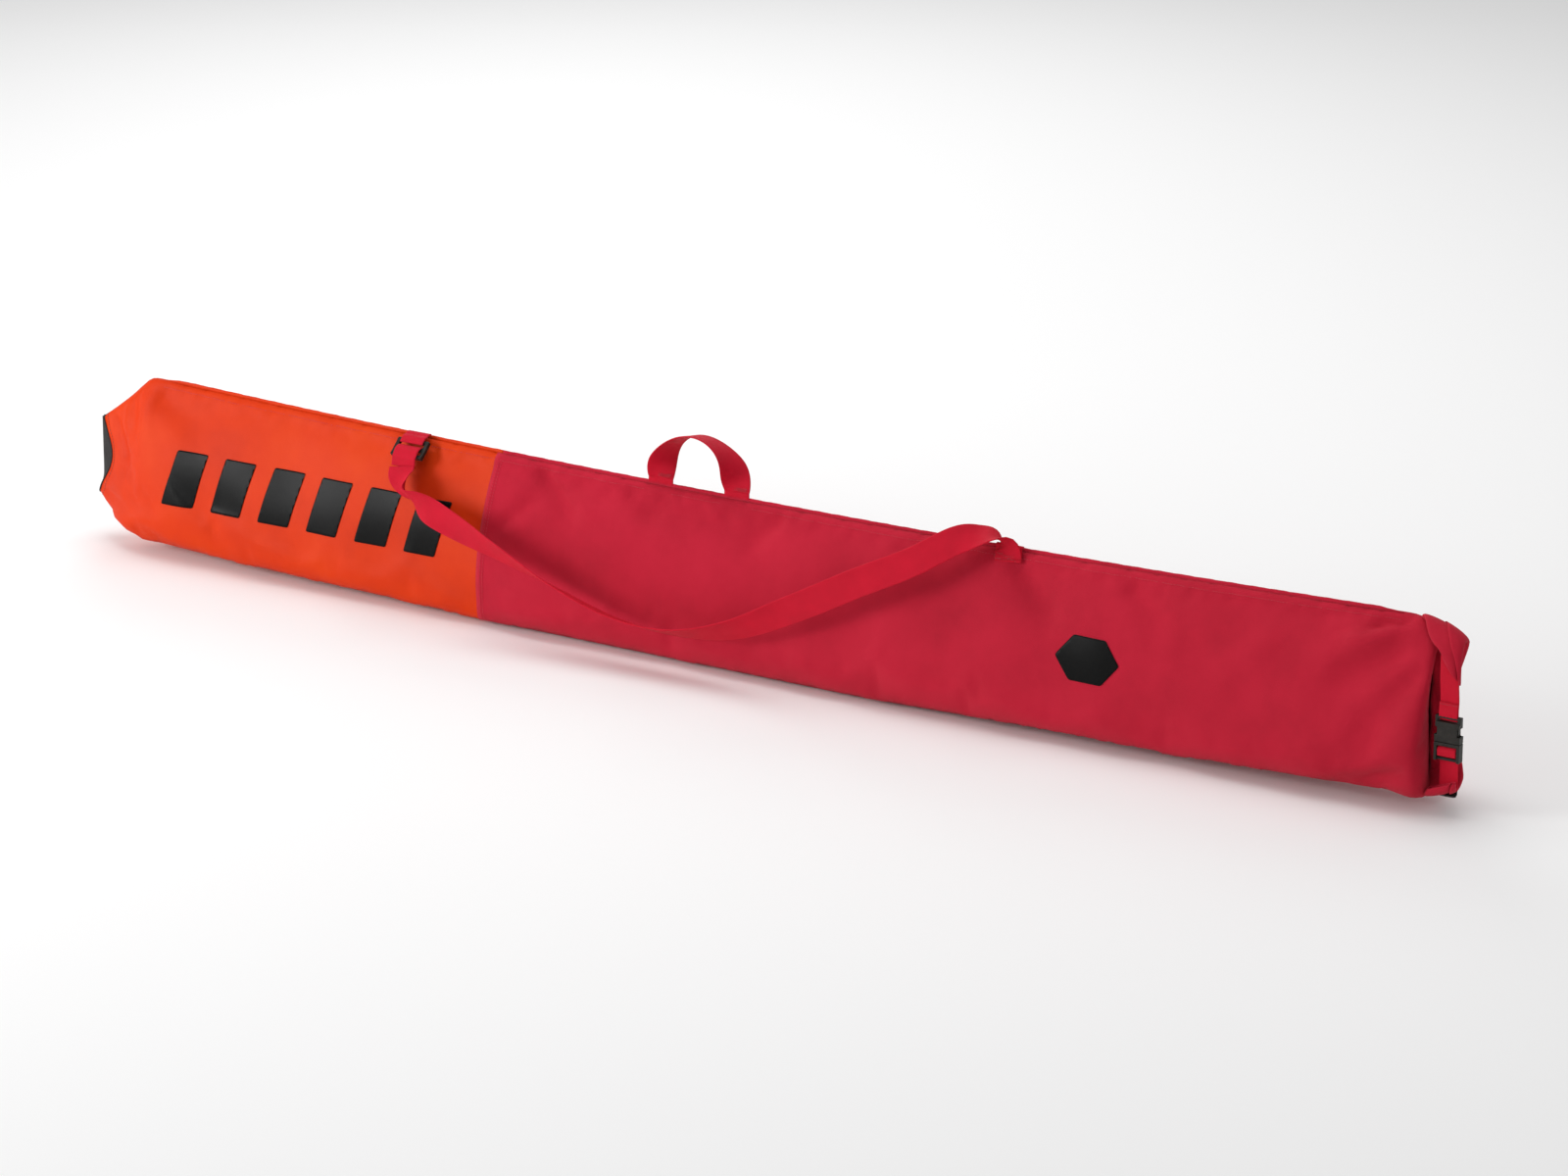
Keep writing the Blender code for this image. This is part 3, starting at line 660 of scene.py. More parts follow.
def settle(obj, held, frames=16, pressure=1.6, cap=0.0045, extra=0.012):
    """Lets the cloth find its folds: pressed from inside, a little slack, held where held is 1."""
    start = points_of(obj)
    group = obj.vertex_groups.new(name="held")
    for level in np.unique(np.round(held, 1)):
        group.add(np.flatnonzero(np.round(held, 1) == level).tolist(), float(level), "REPLACE")
    modifier = obj.modifiers.new("Cloth", "CLOTH")
    cloth = modifier.settings
    cloth.quality = 6
    cloth.mass = 0.25
    cloth.tension_stiffness = cloth.compression_stiffness = 30
    cloth.shear_stiffness = 12
    cloth.bending_stiffness = 0.9
    cloth.use_pressure = True
    cloth.uniform_pressure_force = pressure
    cloth.vertex_group_mass = "held"
    cloth.pin_stiffness = 1.0
    cloth.shrink_min = -extra
    cloth.effector_weights.gravity = 0.15
    modifier.collision_settings.use_collision = False
    for number in range(1, frames + 1):
        bpy.context.scene.frame_set(number)
    evaluated = obj.evaluated_get(bpy.context.evaluated_depsgraph_get())
    settled = np.array([v.co for v in evaluated.to_mesh().vertices])
    evaluated.to_mesh_clear()
    obj.modifiers.remove(modifier)
    obj.vertex_groups.remove(group)
    bpy.context.scene.frame_set(1)
    move = settled - start
    size = np.linalg.norm(move, axis=1, keepdims=True)
    set_points(obj, start + move * np.minimum(1, cap / np.maximum(size, 1e-9)))


def make_body(materials):
    grid, seam_row, ridge_column = body_grid()
    shaped = pressed(waved(grid), 0.7)
    whole = face_out(surface("sleeve_cloth", shaped, materials["red"], wrap=True))
    rows, columns = grid.shape[:2]
    index = np.arange(rows)[:, None]
    column = np.arange(columns)[None, :]
    ends = np.maximum(smoothstep(1 - index / 6), smoothstep(1 - (rows - 1 - index) / 5))
    ridge = smoothstep(1 - np.abs(column - ridge_column) / 2.5)
    floor = np.where(shaped[..., 2] < 0.004 + grid[..., 2].min(axis=1, keepdims=True), 1.0, 0.0)
    settle(whole, np.maximum(np.maximum(ends, ridge), floor).ravel())
    shaped = pressed(points_of(whole).reshape(shaped.shape), 0.9)
    lowest = grid[..., 2].min(axis=1, keepdims=True)
    shaped[..., 2] = np.maximum(shaped[..., 2], lowest)
    bpy.data.objects.remove(whole, do_unlink=True)

    # the red cloth laps 9 mm over the orange and stands a little proud there
    normal = grid_normals(shaped)
    red = shaped[seam_row - 1 :].copy()
    step = np.clip(1 - np.arange(len(red)) / 2.5, 0, 1)[:, None, None]
    red = red + normal[seam_row - 1 :] * 0.0009 * step
    orange = face_out(surface("orange_cloth", shaped[: seam_row + 1], materials["orange"], wrap=True))
    red = face_out(surface("red_cloth", red, materials["red"], wrap=True))
    for obj in (orange, red):
        thicken(obj, CLOTH)
    tape = shaped[seam_row - 2 : seam_row + 3] - normal[seam_row - 2 : seam_row + 3] * 0.0014
    tape = face_out(surface("inner_tape", tape, materials["tape"], wrap=True))
    thicken(tape, 0.0003)
    rides(orange, "sleeve", "coated_orange", "sleeve_lower_orange")
    rides(red, "sleeve", "woven_red", "sleeve_upper_red")
    rides(tape, "sleeve", "seam_tape", "inner_seam_tape")
    return shaped, normal, ridge_column


def front_of(shaped):
    """A tree of the sleeve's surface, to lay film and stitches on it."""
    rows, columns = shaped.shape[:2]
    faces = [(i * columns + j, i * columns + (j + 1) % columns, (i + 1) * columns + (j + 1) % columns,
              (i + 1) * columns + j) for i in range(rows - 1) for j in range(columns)]
    return BVHTree.FromPolygons([Vector(p) for p in shaped.reshape(-1, 3)], faces)


def on_face(tree, x, z, lift, side=-1):
    """The point of the sleeve's face at this x and z, lifted off it, and its normal."""
    hit, normal, _, _ = tree.ray_cast(Vector((x, side * 0.3, z)), Vector((0, -side, 0)))
    if normal.y * side < 0:
        normal = -normal
    return np.array(hit + normal * lift), np.array(normal)


# ---- pieces sewn or printed on the sleeve ----
def make_tail(materials, shaped):
    """The black end panel: a pillow that closes the tail; the binding round its edge is made by
    make_tail_binding.
    """
    ring = shaped[0]
    keel = TAIL_X - 0.004
    layers = []
    for t in np.linspace(0, 1, 16):
        layer = ring.copy()
        layer[:, 0] = ring[:, 0] + (keel - ring[:, 0]) * t
        layer[:, 1] = (ring[:, 1] * ((1 - t) ** 0.85 * 0.97 + 0.03)
                       - 0.0008 * math.sin(math.pi * t) * np.sin(ring[:, 2] * 190))
        layer[:, 2] = ring[:, 2] * (1 - 0.03 * t) + 0.117 * 0.03 * t
        layers.append(layer)
    # it runs 4 mm under the sleeve's edge
    under = shaped[1] * [1, 0.985, 1]
    panel = face_out(surface("end_panel", np.array([under, *layers])[::-1], materials["black"], wrap=True))
    thicken(panel, 0.0006)
    rides(panel, "sleeve", "woven_black", "tail_end_panel")
    return panel


def closed_cord(name, path, radius, material, sides=10, flatten=1.0):
    """A round bead along a closed path."""
    tangent = unit(np.roll(path, -1, axis=0) - np.roll(path, 1, axis=0))
    middle = path.mean(axis=0)
    out = unit(path - middle)
    out = unit(out - tangent * np.sum(out * tangent, axis=1, keepdims=True))
    other = np.cross(tangent, out)
    angle = np.linspace(0, 2 * math.pi, sides, endpoint=False)
    grid = (path[:, None] + out[:, None] * (np.cos(angle) * radius)[None, :, None]
            + other[:, None] * (np.sin(angle) * radius * flatten)[None, :, None])
    grid = np.concatenate([grid, grid[:1]], axis=0)
    return face_out(surface(name, grid, material, wrap=True))


def make_tail_binding(materials, shaped):
    path = shaped[0] * [1, 1.0, 1]
    binding = closed_cord("end_binding", path, 0.0013, materials["black"])
    rides(binding, "sleeve", "woven_black", "tail_end_binding")


def make_seams(materials, tree, shaped, normal, ridge_column):
    """The felled seam along the ridge, and the rows of stitches."""
    ridge = shaped[:, ridge_column]
    keep = (ridge[:, 0] > TAIL_X + 0.10) & (ridge[:, 0] < CORNER_X - 0.010)
    line = ridge[keep]
    half, height = 0.0012, SEAM_HEIGHT
    profile = np.array([(-half, -0.001), (-half, height * 0.45), (-half * 0.9, height * 0.85), (0, height),
                        (half * 0.9, height * 0.85), (half, height * 0.45), (half, -0.001)])
    for name, slot, part in (
        ("ridge_seam_red", "woven_red", line[line[:, 0] > SEAM_X - 0.0005]),
        ("ridge_seam_orange", "coated_orange", line[line[:, 0] < SEAM_X + 0.004]),
    ):
        part = resample(part, 0.004)
        wobble = 0.0005 * np.sin(part[:, 0] * 190) + 0.0003 * np.sin(part[:, 0] * 431)
        low = smoothstep((part[:, 0] - line[0, 0]) / 0.04) * smoothstep((line[-1, 0] - part[:, 0]) / 0.04)
        up = low[:, None] * profile[None, :, 1] - 0.0008 * (1 - low[:, None])
        lean = (wobble[:, None] + 0.0008) * (profile[:, 1] / height)[None, :]
        grid = part[:, None] + np.stack([np.zeros(up.shape), profile[None, :, 0] + lean, up], axis=2)
        cloth = materials["red" if "red" in name else "orange"]
        strip = face_out(surface(name, grid, cloth, wrap=True, caps=True))
        rides(strip, "sleeve", slot, *(("top_seam_binding",) if "red" in name else ()))

    starts, ways, normals = [], [], []
    for side in (-1, 1):
        for x in np.arange(TAIL_X + 0.11, CORNER_X - 0.02, 0.0042):
            z = sleeve_row(x)[1]
            if not (abs(x - HANDLE_XS[0]) < 0.022 or abs(x - HANDLE_XS[1]) < 0.022):
                place, face = on_face(tree, x, z - 0.0085, 0.0001, side)
                starts.append(place)
                ways.append((1, 0, 0))
                normals.append(face)
    rides(stitches("ridge_stitches", starts, ways, normals, materials["thread_red"]), "sleeve", "woven_red")

    # two rows of stitches hold the lapped colour seam
    starts, ways, normals = [], [], []
    for offset in (0.0022, 0.0062):
        for side in (-1, 1):
            for z in np.arange(0.012, 0.214, 0.0040):
                place, face = on_face(tree, SEAM_X + offset - 0.0078 + 0.004, z, 0.0009, side)
                starts.append(place)
                ways.append((0, 0, 1))
                normals.append(face)
    rides(stitches("seam_stitches", starts, ways, normals, materials["thread_red"]), "sleeve", "woven_red")

    # one row behind the tail binding
    starts, ways, normals = [], [], []
    row = shaped[1]
    for a, b, n in zip(row, np.roll(row, -1, axis=0), normal[1]):
        starts.append((a + b) / 2 + n * 0.0001)
        ways.append(b - a)
        normals.append(n)
    row = stitches("tail_stitches", starts, ways, normals, materials["thread_black"])
    rides(row, "sleeve", "woven_black")


def film(name, outline, tree, material, step=0.003, lift=0.0008):
    """A print laid on the front of the sleeve: its outline in x and z, filled with a fine grid."""
    bm = bmesh.new()
    bm.faces.new([bm.verts.new((x, 0, z)) for x, z in outline])
    for k in range(2):
        low = min(p[k] for p in outline)
        high = max(p[k] for p in outline)
        for cut in np.arange(low + step, high, step):
            plane = ((cut, 0, 0), (1, 0, 0)) if k == 0 else ((0, 0, cut), (0, 0, 1))
            everything = [*bm.verts, *bm.edges, *bm.faces]
            bmesh.ops.bisect_plane(bm, geom=everything, plane_co=plane[0], plane_no=plane[1])
    for vert in bm.verts:
        place, _ = on_face(tree, vert.co.x, vert.co.z, lift)
        vert.co = Vector(place)
    bmesh.ops.recalc_face_normals(bm, faces=bm.faces)
    if sum(f.normal.y for f in bm.faces) > 0:
        bmesh.ops.reverse_faces(bm, faces=bm.faces)
    mesh = bpy.data.meshes.new(name)
    bm.to_mesh(mesh)
    bm.free()
    layer = mesh.uv_layers.new(name="metres")
    for loop in mesh.loops:
        co = mesh.vertices[loop.vertex_index].co
        layer.data[loop.index].uv = (co.z, co.x)
    mesh.materials.append(material)
    mesh.shade_smooth()
    obj = bpy.data.objects.new(name, mesh)
    bpy.context.collection.objects.link(obj)
    thicken(obj, 0.00015)
    return obj


def rounded(outline, r=0.003, steps=3):
    """An outline with its corners rounded."""
    points = []
    n = len(outline)
    for k in range(n):
        a, b, c = (np.array(outline[(k + d) % n], float) for d in (-1, 0, 1))
        p, q = b + unit(a - b) * r, b + unit(c - b) * r
        for t in np.linspace(0, 1, steps + 1):
            points.append(tuple((1 - t) ** 2 * p + 2 * t * (1 - t) * b + t * t * q))
    return points


def make_prints(materials, tree):
    low, high, slant, bar, pitch, first = 0.082, 0.156, 0.018, 0.050, 0.0800, -0.905
    for k in range(6):
        x = first + pitch * k
        outline = ((x, low), (x + bar, low), (x + bar + slant, high), (x + slant, high))
        piece = film(f"bar_film_{k + 1}", rounded(outline), tree, materials["film"])
        rides(piece, "sleeve", "print_film", f"print_bar_{k + 1}")
    x, z, length, height = 0.530, 0.1160, 0.092, 0.056
    outline = [(x - length / 2, z), (x - length / 4, z + height / 2), (x + length / 4, z + height / 2),
               (x + length / 2, z), (x + length / 4, z - height / 2), (x - length / 4, z - height / 2)]
    badge = film("badge_film", rounded(outline), tree, materials["film"])
    rides(badge, "sleeve", "print_film", "print_badge")


# ---- handle and shoulder strap ----
def handle_arch():
    """The handle's middle line and the way its width runs: an arch with broad legs, turned at the crown."""
    middle = sum(HANDLE_XS) / 2
    reach = (HANDLE_XS[1] - HANDLE_XS[0]) / 2
    foot = RIDGE_MID + HANDLE_LIFT
    turn = np.linspace(0, math.pi, 90)
    line = np.stack([middle - reach * np.cos(turn), np.zeros(90),
                     foot + (HANDLE_TOP - foot) * np.sin(turn) ** 0.92], axis=1)
    flat = np.sin(turn) ** 0.72
    sides = np.stack([1 - flat, flat, -0.2 * flat], axis=1)
    return line, sides


def box_stitch(frame_at, width, height, pitch=0.0030):
    """Starts, ways and normals of a box of stitches with a cross in it; frame_at turns (u, v) to a point."""
    w, h = width / 2, height / 2
    loops = [[(-w, -h), (w, -h), (w, h), (-w, h), (-w, -h)], [(-w, -h), (w, h)], [(-w, h), (w, -h)]]
    starts, ways, normals = [], [], []
    for loop in loops:
        for a, b in zip(loop, loop[1:]):
            count = max(2, int(round(math.dist(a, b) / pitch)))
            for k in range(count):
                t = (k + 0.5) / count
                u, v = a[0] + (b[0] - a[0]) * t, a[1] + (b[1] - a[1]) * t
                place, normal = frame_at(u, v)
                ahead, _ = frame_at(u + (b[0] - a[0]) * 0.01, v + (b[1] - a[1]) * 0.01)
                starts.append(place)
                ways.append(ahead - place)
                normals.append(normal)
    return starts, ways, normals


def place_handle(materials):
    line, sides = handle_arch()
    strip = web_strip("handle_webbing", line, sides, WEBBING, WEB_THICK, materials["web"], step=0.0025,
                      ripple=0.0005, seed=3)
    rides(strip, "handle", "webbing_red", "carry_handle")
    for x in HANDLE_XS:
        top = sleeve_row(x)[1]
        path = np.array([(x, 0.0, top + HANDLE_LIFT + 0.001), (x, 0.0, top + 0.004), (x, 0.0, top + 0.0015)])
        leg = web_strip(f"handle_leg_{'left' if x < HANDLE_XS[1] else 'right'}", curve(path, 4),
                        np.tile([1.0, 0, 0], (9, 1)), WEBBING, WEB_THICK, materials["web"], step=0.001)
        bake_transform(leg)
    # bar tacks across each leg, just above the seam
    starts, ways, normals = [], [], []
    for x in HANDLE_XS:
        z = sleeve_row(x)[1] + HANDLE_LIFT + 0.003
        for side in (-1, 1):
            for row in range(3):
                for k in np.arange(-0.016, 0.0161, 0.0027):
                    starts.append((x + k, side * 0.00095, z + 0.0016 * row))
                    ways.append((1, 0, 0.55 if row % 2 else -0.55))
                    normals.append((0, side, 0))
    tacks = stitches("handle_tacks", [np.array(s) for s in starts], ways, normals, materials["thread_web"])
    rides(tacks, "handle", "webbing_red")


def strap_line(tree):
    """The strap's middle line and the way its width runs, from the lock to the stitches on the face."""
    points = [p for p, _ in (*STRAP, *STRAP_END)]
    sides = [s for _, s in (*STRAP, *STRAP_END)]
    x = STRAP_END[-1][0][0]
    for down in (0.0070, 0.0120):
        points.append(on_face(tree, x, sleeve_row(x)[1] - down, 0.0040)[0])
        sides.append((-1.0, 0.0, 0.0))
    return curve(points, 16), curve(unit(np.array(sides)), 16)


def place_strap(materials, tree):
    line, sides = strap_line(tree)
    strip = web_strip("shoulder_webbing", line, sides, WEBBING, WEB_THICK, materials["web"], step=0.004,
                      ripple=0.0007, seed=5)
    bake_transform(strip)
    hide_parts("shoulder_strap")


def lock_axes():
    """The ladder lock's middle, and the ways down the face and out of it."""
    middle = np.array([LOCK_LOW.x + (LOCK_HIGH.x - LOCK_LOW.x) / 2, LOCK_Y, LOCK_Z])
    down = np.array([0, -math.sin(LOCK_LEAN), -math.cos(LOCK_LEAN)])
    return middle, down, np.array([0, -math.cos(LOCK_LEAN), math.sin(LOCK_LEAN)])


def boxes_joined(name, boxes, place, material, voxel=0.0005, smooth=6):
    """Boxes (low, high) in a local frame, melted into one moulded piece with soft edges."""
    bm = bmesh.new()
    for low, high in boxes:
        corners = [bm.verts.new((x, y, z)) for x in (low[0], high[0]) for y in (low[1], high[1])
                   for z in (low[2], high[2])]
        for face in ((0, 1, 3, 2), (4, 6, 7, 5), (0, 4, 5, 1), (2, 3, 7, 6), (0, 2, 6, 4), (1, 5, 7, 3)):
            bm.faces.new([corners[k] for k in face])
    bmesh.ops.recalc_face_normals(bm, faces=bm.faces)
    if place is not None:
        bmesh.ops.transform(bm, matrix=place, verts=bm.verts)
    mesh = bpy.data.meshes.new(name)
    bm.to_mesh(mesh)
    bm.free()
    mesh.materials.append(material)
    obj = bpy.data.objects.new(name, mesh)
    bpy.context.collection.objects.link(obj)
    remesh = obj.modifiers.new("Melt", "REMESH")
    remesh.mode = "VOXEL"
    remesh.voxel_size = voxel
    remesh.use_smooth_shade = True
    soften = obj.modifiers.new("Soften", "SMOOTH")
    soften.factor = 0.6
    soften.iterations = smooth
    return obj


def place_lock(materials):
    """The strap's ladder lock with its webbing: an anchor loop above, the strap rolled over its lower bar."""
    middle, down, out = lock_axes()
    x = middle[0]
    place = Matrix.Translation(middle) @ Matrix((
        (1, 0, 0, 0), (0, -down[1], out[1], 0), (0, -down[2], out[2], 0), (0, 0, 0, 1)))
    w, h, d = 0.0248, 0.0138, 0.0030
    half = WEBBING / 2 + 0.0006
    boxes = [
        ((-w, -h, -d), (-half, h, d)), ((half, -h, -d), (w, h, d)),
        ((-w, h - 0.0045, -d), (w, h, d)), ((-w, -h, -d), (w, -h + 0.0048, d + 0.0006)),
        ((-w, -0.0030, -d + 0.0008), (w, 0.0030, d - 0.0004)),
        ((-0.012, h - 0.0010, d - 0.0020), (0.012, h + 0.0016, d + 0.0012)),
    ]
    lock = boxes_joined("ladder_lock", boxes, place, materials["plastic"])
    rides(lock, "strap", "buckle_black", "strap_ladder_lock")

    top = sleeve_row(x)[1]
    anchor = curve([(x, -0.0020, top + 0.0046), (x, -0.0065, top + 0.0052), (x, -0.0115, top + 0.0030),
                    middle - down * (h + 0.003) + out * 0.0040, middle - down * 0.0090 + out * 0.0046,
                    middle - down * 0.0060 + out * 0.0040], 8)
    web = web_strip("anchor_webbing", anchor, np.tile([1.0, 0, 0], (len(anchor), 1)), WEBBING - 0.002,
                    WEB_THICK, materials["web"], step=0.0015)
    rides(web, "strap", "webbing_red", "strap_anchor_left")

    # the strap's end comes up behind the middle bar, over it and down again
    loop = curve([middle + down * 0.0270 - out * 0.0030, middle + down * 0.0215 + out * 0.0010,
                  middle + down * 0.0170 + out * 0.0046, middle + down * 0.0110 + out * 0.0060,
                  middle + down * 0.0070 + out * 0.0068, middle + down * 0.0030 + out * 0.0060,
                  middle + down * 0.0004 + out * 0.0048, middle - down * 0.0022 + out * 0.0030], 8)
    over = web_strip("lock_loop", loop, np.tile([1.0, 0, 0], (len(loop), 1)), WEBBING - 0.001, WEB_THICK,
                     materials["web"], step=0.0015)
    rides(over, "strap", "webbing_red")


def place_tab(materials, tree):
    """The strap's sewn end: a low fold of webbing that goes under its own stitched tail."""
    x = (TAB_LOW.x + TAB_HIGH.x) / 2
    top = sleeve_row(x)[1]
    path = [(x, -0.0020, top + 0.0052), (x, -0.0065, top + 0.0058)]
    for down in (0.007, 0.011, 0.015):
        place, _ = on_face(tree, x, top - down, 0.0016)
        path.append(tuple(place))
    line = curve(path, 8)
    tab = web_strip("tab_webbing", line, np.tile([1.0, 0, 0], (len(line), 1)), WEBBING, WEB_THICK,
                    materials["web"], step=0.0015)
    rides(tab, "sleeve", "webbing_red", "strap_anchor_right")

    def at(u, v):
        place, normal = on_face(tree, x + u, top - 0.0100 + v, 0.0051)
        return place, normal
    starts, ways, normals = box_stitch(at, 0.031, 0.005)
    rides(stitches("tab_stitches", starts, ways, normals, materials["thread_web"]), "sleeve", "webbing_red")


# ---- closure ----
def place_closure(materials):
    """The rolled mouth: a flat spiral of cloth swept along its line, both ends folded forward."""
    line = resample(curve([(0, y, z) for y, z in ROLL_LINE], 16), 0.003)
    n = len(line)
    far = np.linspace(0, 1, n)
    # the roll is widest where it crosses the bag's ridge corner and narrow at its two tips
    left = np.interp(far, (0, 0.09, 0.16, 0.24, 0.32, 0.45, 0.72, 0.82, 0.90, 1.0),
                     (1.0060, 0.9960, 0.9760, 0.9550, 0.9700, 0.9865, 0.9865, 0.9740, 0.9720, 0.9900))
    right = np.interp(far, (0, 0.10, 0.23, 0.30, 0.42, 0.76, 0.88, 1.0),
                      (1.0325, 1.0330, 1.0310, 1.0230, 1.0100, 1.0110, 1.0310, 1.0320))
    around = 110
    # where the cloth's free edge lies on the front of the roll, from one side (1) to the other (-1)
    edge = np.interp(far, (0, 0.10, 0.25, 0.5, 0.8, 1.0), (0.92, 0.55, -0.10, -0.5, 0.2, 0.8))
    along = unit(np.gradient(line, axis=0))
    normal = np.stack([np.zeros(n), -along[:, 2], along[:, 1]], axis=1)
    depth = 0.0058
    rough = np.random.default_rng(11)
    phases = rough.uniform(0, 2 * math.pi, (4, 2))
    grid = np.zeros((n, around, 3))
    for i in range(n):
        half = (right[i] - left[i]) / 2
        middle = (right[i] + left[i]) / 2
        waves = (math.sin(2 * math.pi * far[i] * (2 + 3 * k) + phases[k, 0]) for k in range(4))
        wobble = 1 + 0.05 * sum(waves) / 2
        angle = np.linspace(0, 4 * math.pi + math.acos(edge[i]), around)
        grow = 0.35 + 0.65 * angle / angle[-1]
        u = np.cos(angle) * half * grow
        v = np.sign(np.sin(angle)) * np.abs(np.sin(angle)) ** 0.8 * depth * grow * wobble
        across = np.stack([middle + u, np.zeros(around), np.zeros(around)], axis=1)
        grid[i] = line[i] + across + v[:, None] * normal[i]
        # towards the bag the crest rises to the ridge's corner, and the tip is cut on the slant
        share = np.clip((right[i] - grid[i, :, 0]) / (right[i] - left[i]), 0, 1)
        crest = math.exp(-(((far[i] - 0.25) / 0.11) ** 2))
        horn = float(smoothstep(1 - far[i] / 0.16))
        grid[i, :, 2] += crest * (0.030 * share ** 0.7 - 0.006) + 0.034 * horn * share
        foot = math.exp(-(((far[i] - 0.83) / 0.10) ** 2))
        tip = float(smoothstep((far[i] - 0.88) / 0.12))
        grid[i, :, 2] += (foot * (0.030 * (1 - share) - 0.002 * share)
                          + tip * (0.004 * (1 - share) - 0.010 * share))
    roll = surface("mouth_roll", grid, materials["red"])
    thicken(roll, 0.0007, 0)
    rides(roll, "closure", "woven_red", "rolled_mouth")
    return line, left, right


def place_neck(materials, shaped):
    """The flattened neck of the sleeve between its last folds and the roll."""
    x0, x1 = shaped[-1, :, 0].mean(), ROLL_LOW.x + 0.008
    low, high = NECK_Z
    rows = []
    for x in np.linspace(x0, x1, 6):
        ring = []
        for z in np.linspace(low, high, 40):
            ring.append((x, -0.0032 - 0.0012 * math.sin(z * 120 + x * 300), z))
        for z in np.linspace(high, low, 40):
            ring.append((x, 0.0032 + 0.0012 * math.sin(z * 95 + x * 260), z))
        rows.append(ring)
    neck = face_out(surface("neck_cloth", np.array(rows), materials["red"], wrap=True))
    thicken(neck, 0.0006)
    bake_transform(neck)
    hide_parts("mouth_neck")


def place_closure_webs(materials):
    x, y = (WEB_LOW.x + WEB_HIGH.x) / 2, (WEB_LOW.y + WEB_HIGH.y) / 2
    lower_low, lower_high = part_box("closure_web_lower")
    tail_low, tail_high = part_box("closure_web_tail")
    top = ROLL_LINE[0][1]
    across = [1.0, 0, 0]
    upper = curve([(x - 0.002, y + 0.0010, top + 0.034), (x - 0.001, y, top + 0.004), (x, y + 0.0006, 0.150),
                   (x, y, 0.138), (x, y, SHELL_HIGH.z - 0.006)], 8)
    web = web_strip("upper_webbing", upper, np.tile(across, (len(upper), 1)), CLOSURE_WEB, WEB_THICK,
                    materials["web"], step=0.002)
    rides(web, "closure", "webbing_red", "closure_web_upper")
    # the loop through the buckle's top bar is doubled back and sewn
    loop = curve([(x, y - 0.0024, SHELL_HIGH.z - 0.003), (x, y - 0.0030, SHELL_HIGH.z + 0.004),
                  (x, y - 0.0020, 0.142), (x, y - 0.0016, 0.146)], 6)
    back = web_strip("upper_webbing_tail", loop, np.tile(across, (len(loop), 1)), CLOSURE_WEB, WEB_THICK,
                     materials["web"], step=0.002)
    rides(back, "closure", "webbing_red")
    starts, ways, normals = [], [], []
    for z in (0.1440, 0.1372):
        for u in np.arange(-0.0105, 0.0106, 0.0030):
            starts.append(np.array([x + u, y - 0.0030, z]))
            ways.append((1, 0, 0))
            normals.append((0, -1, 0))
    row = stitches("upper_web_stitches", starts, ways, normals, materials["thread_web"])
    rides(row, "closure", "webbing_red")

    yl = (lower_low.y + lower_high.y) / 2
    lower = curve([(x, yl, lower_low.z - 0.010), (x, yl, lower_low.z + 0.004), (x, yl, 0.060),
                   (x, yl, 0.074), (x, yl, lower_high.z)], 8)
    web = web_strip("lower_webbing", lower, np.tile(across, (len(lower), 1)), CLOSURE_WEB, WEB_THICK,
                    materials["web"], step=0.002)
    rides(web, "closure", "webbing_red", "closure_web_lower")
    yt = (tail_low.y + tail_high.y) / 2
    tail = curve([(x, yt + 0.0012, tail_high.z + 0.0020), (x, yt - 0.0012, 0.0865), (x, yt - 0.0014, 0.0835),
                  (x, yt - 0.0010, 0.0805), (x, yt - 0.0012, 0.0780)], 6)
    web = web_strip("tail_webbing", tail, np.tile(across, (len(tail), 1)), CLOSURE_WEB, 0.0014,
                    materials["web"], step=0.002)
    rides(web, "buckle_male", "webbing_red", "closure_web_tail")


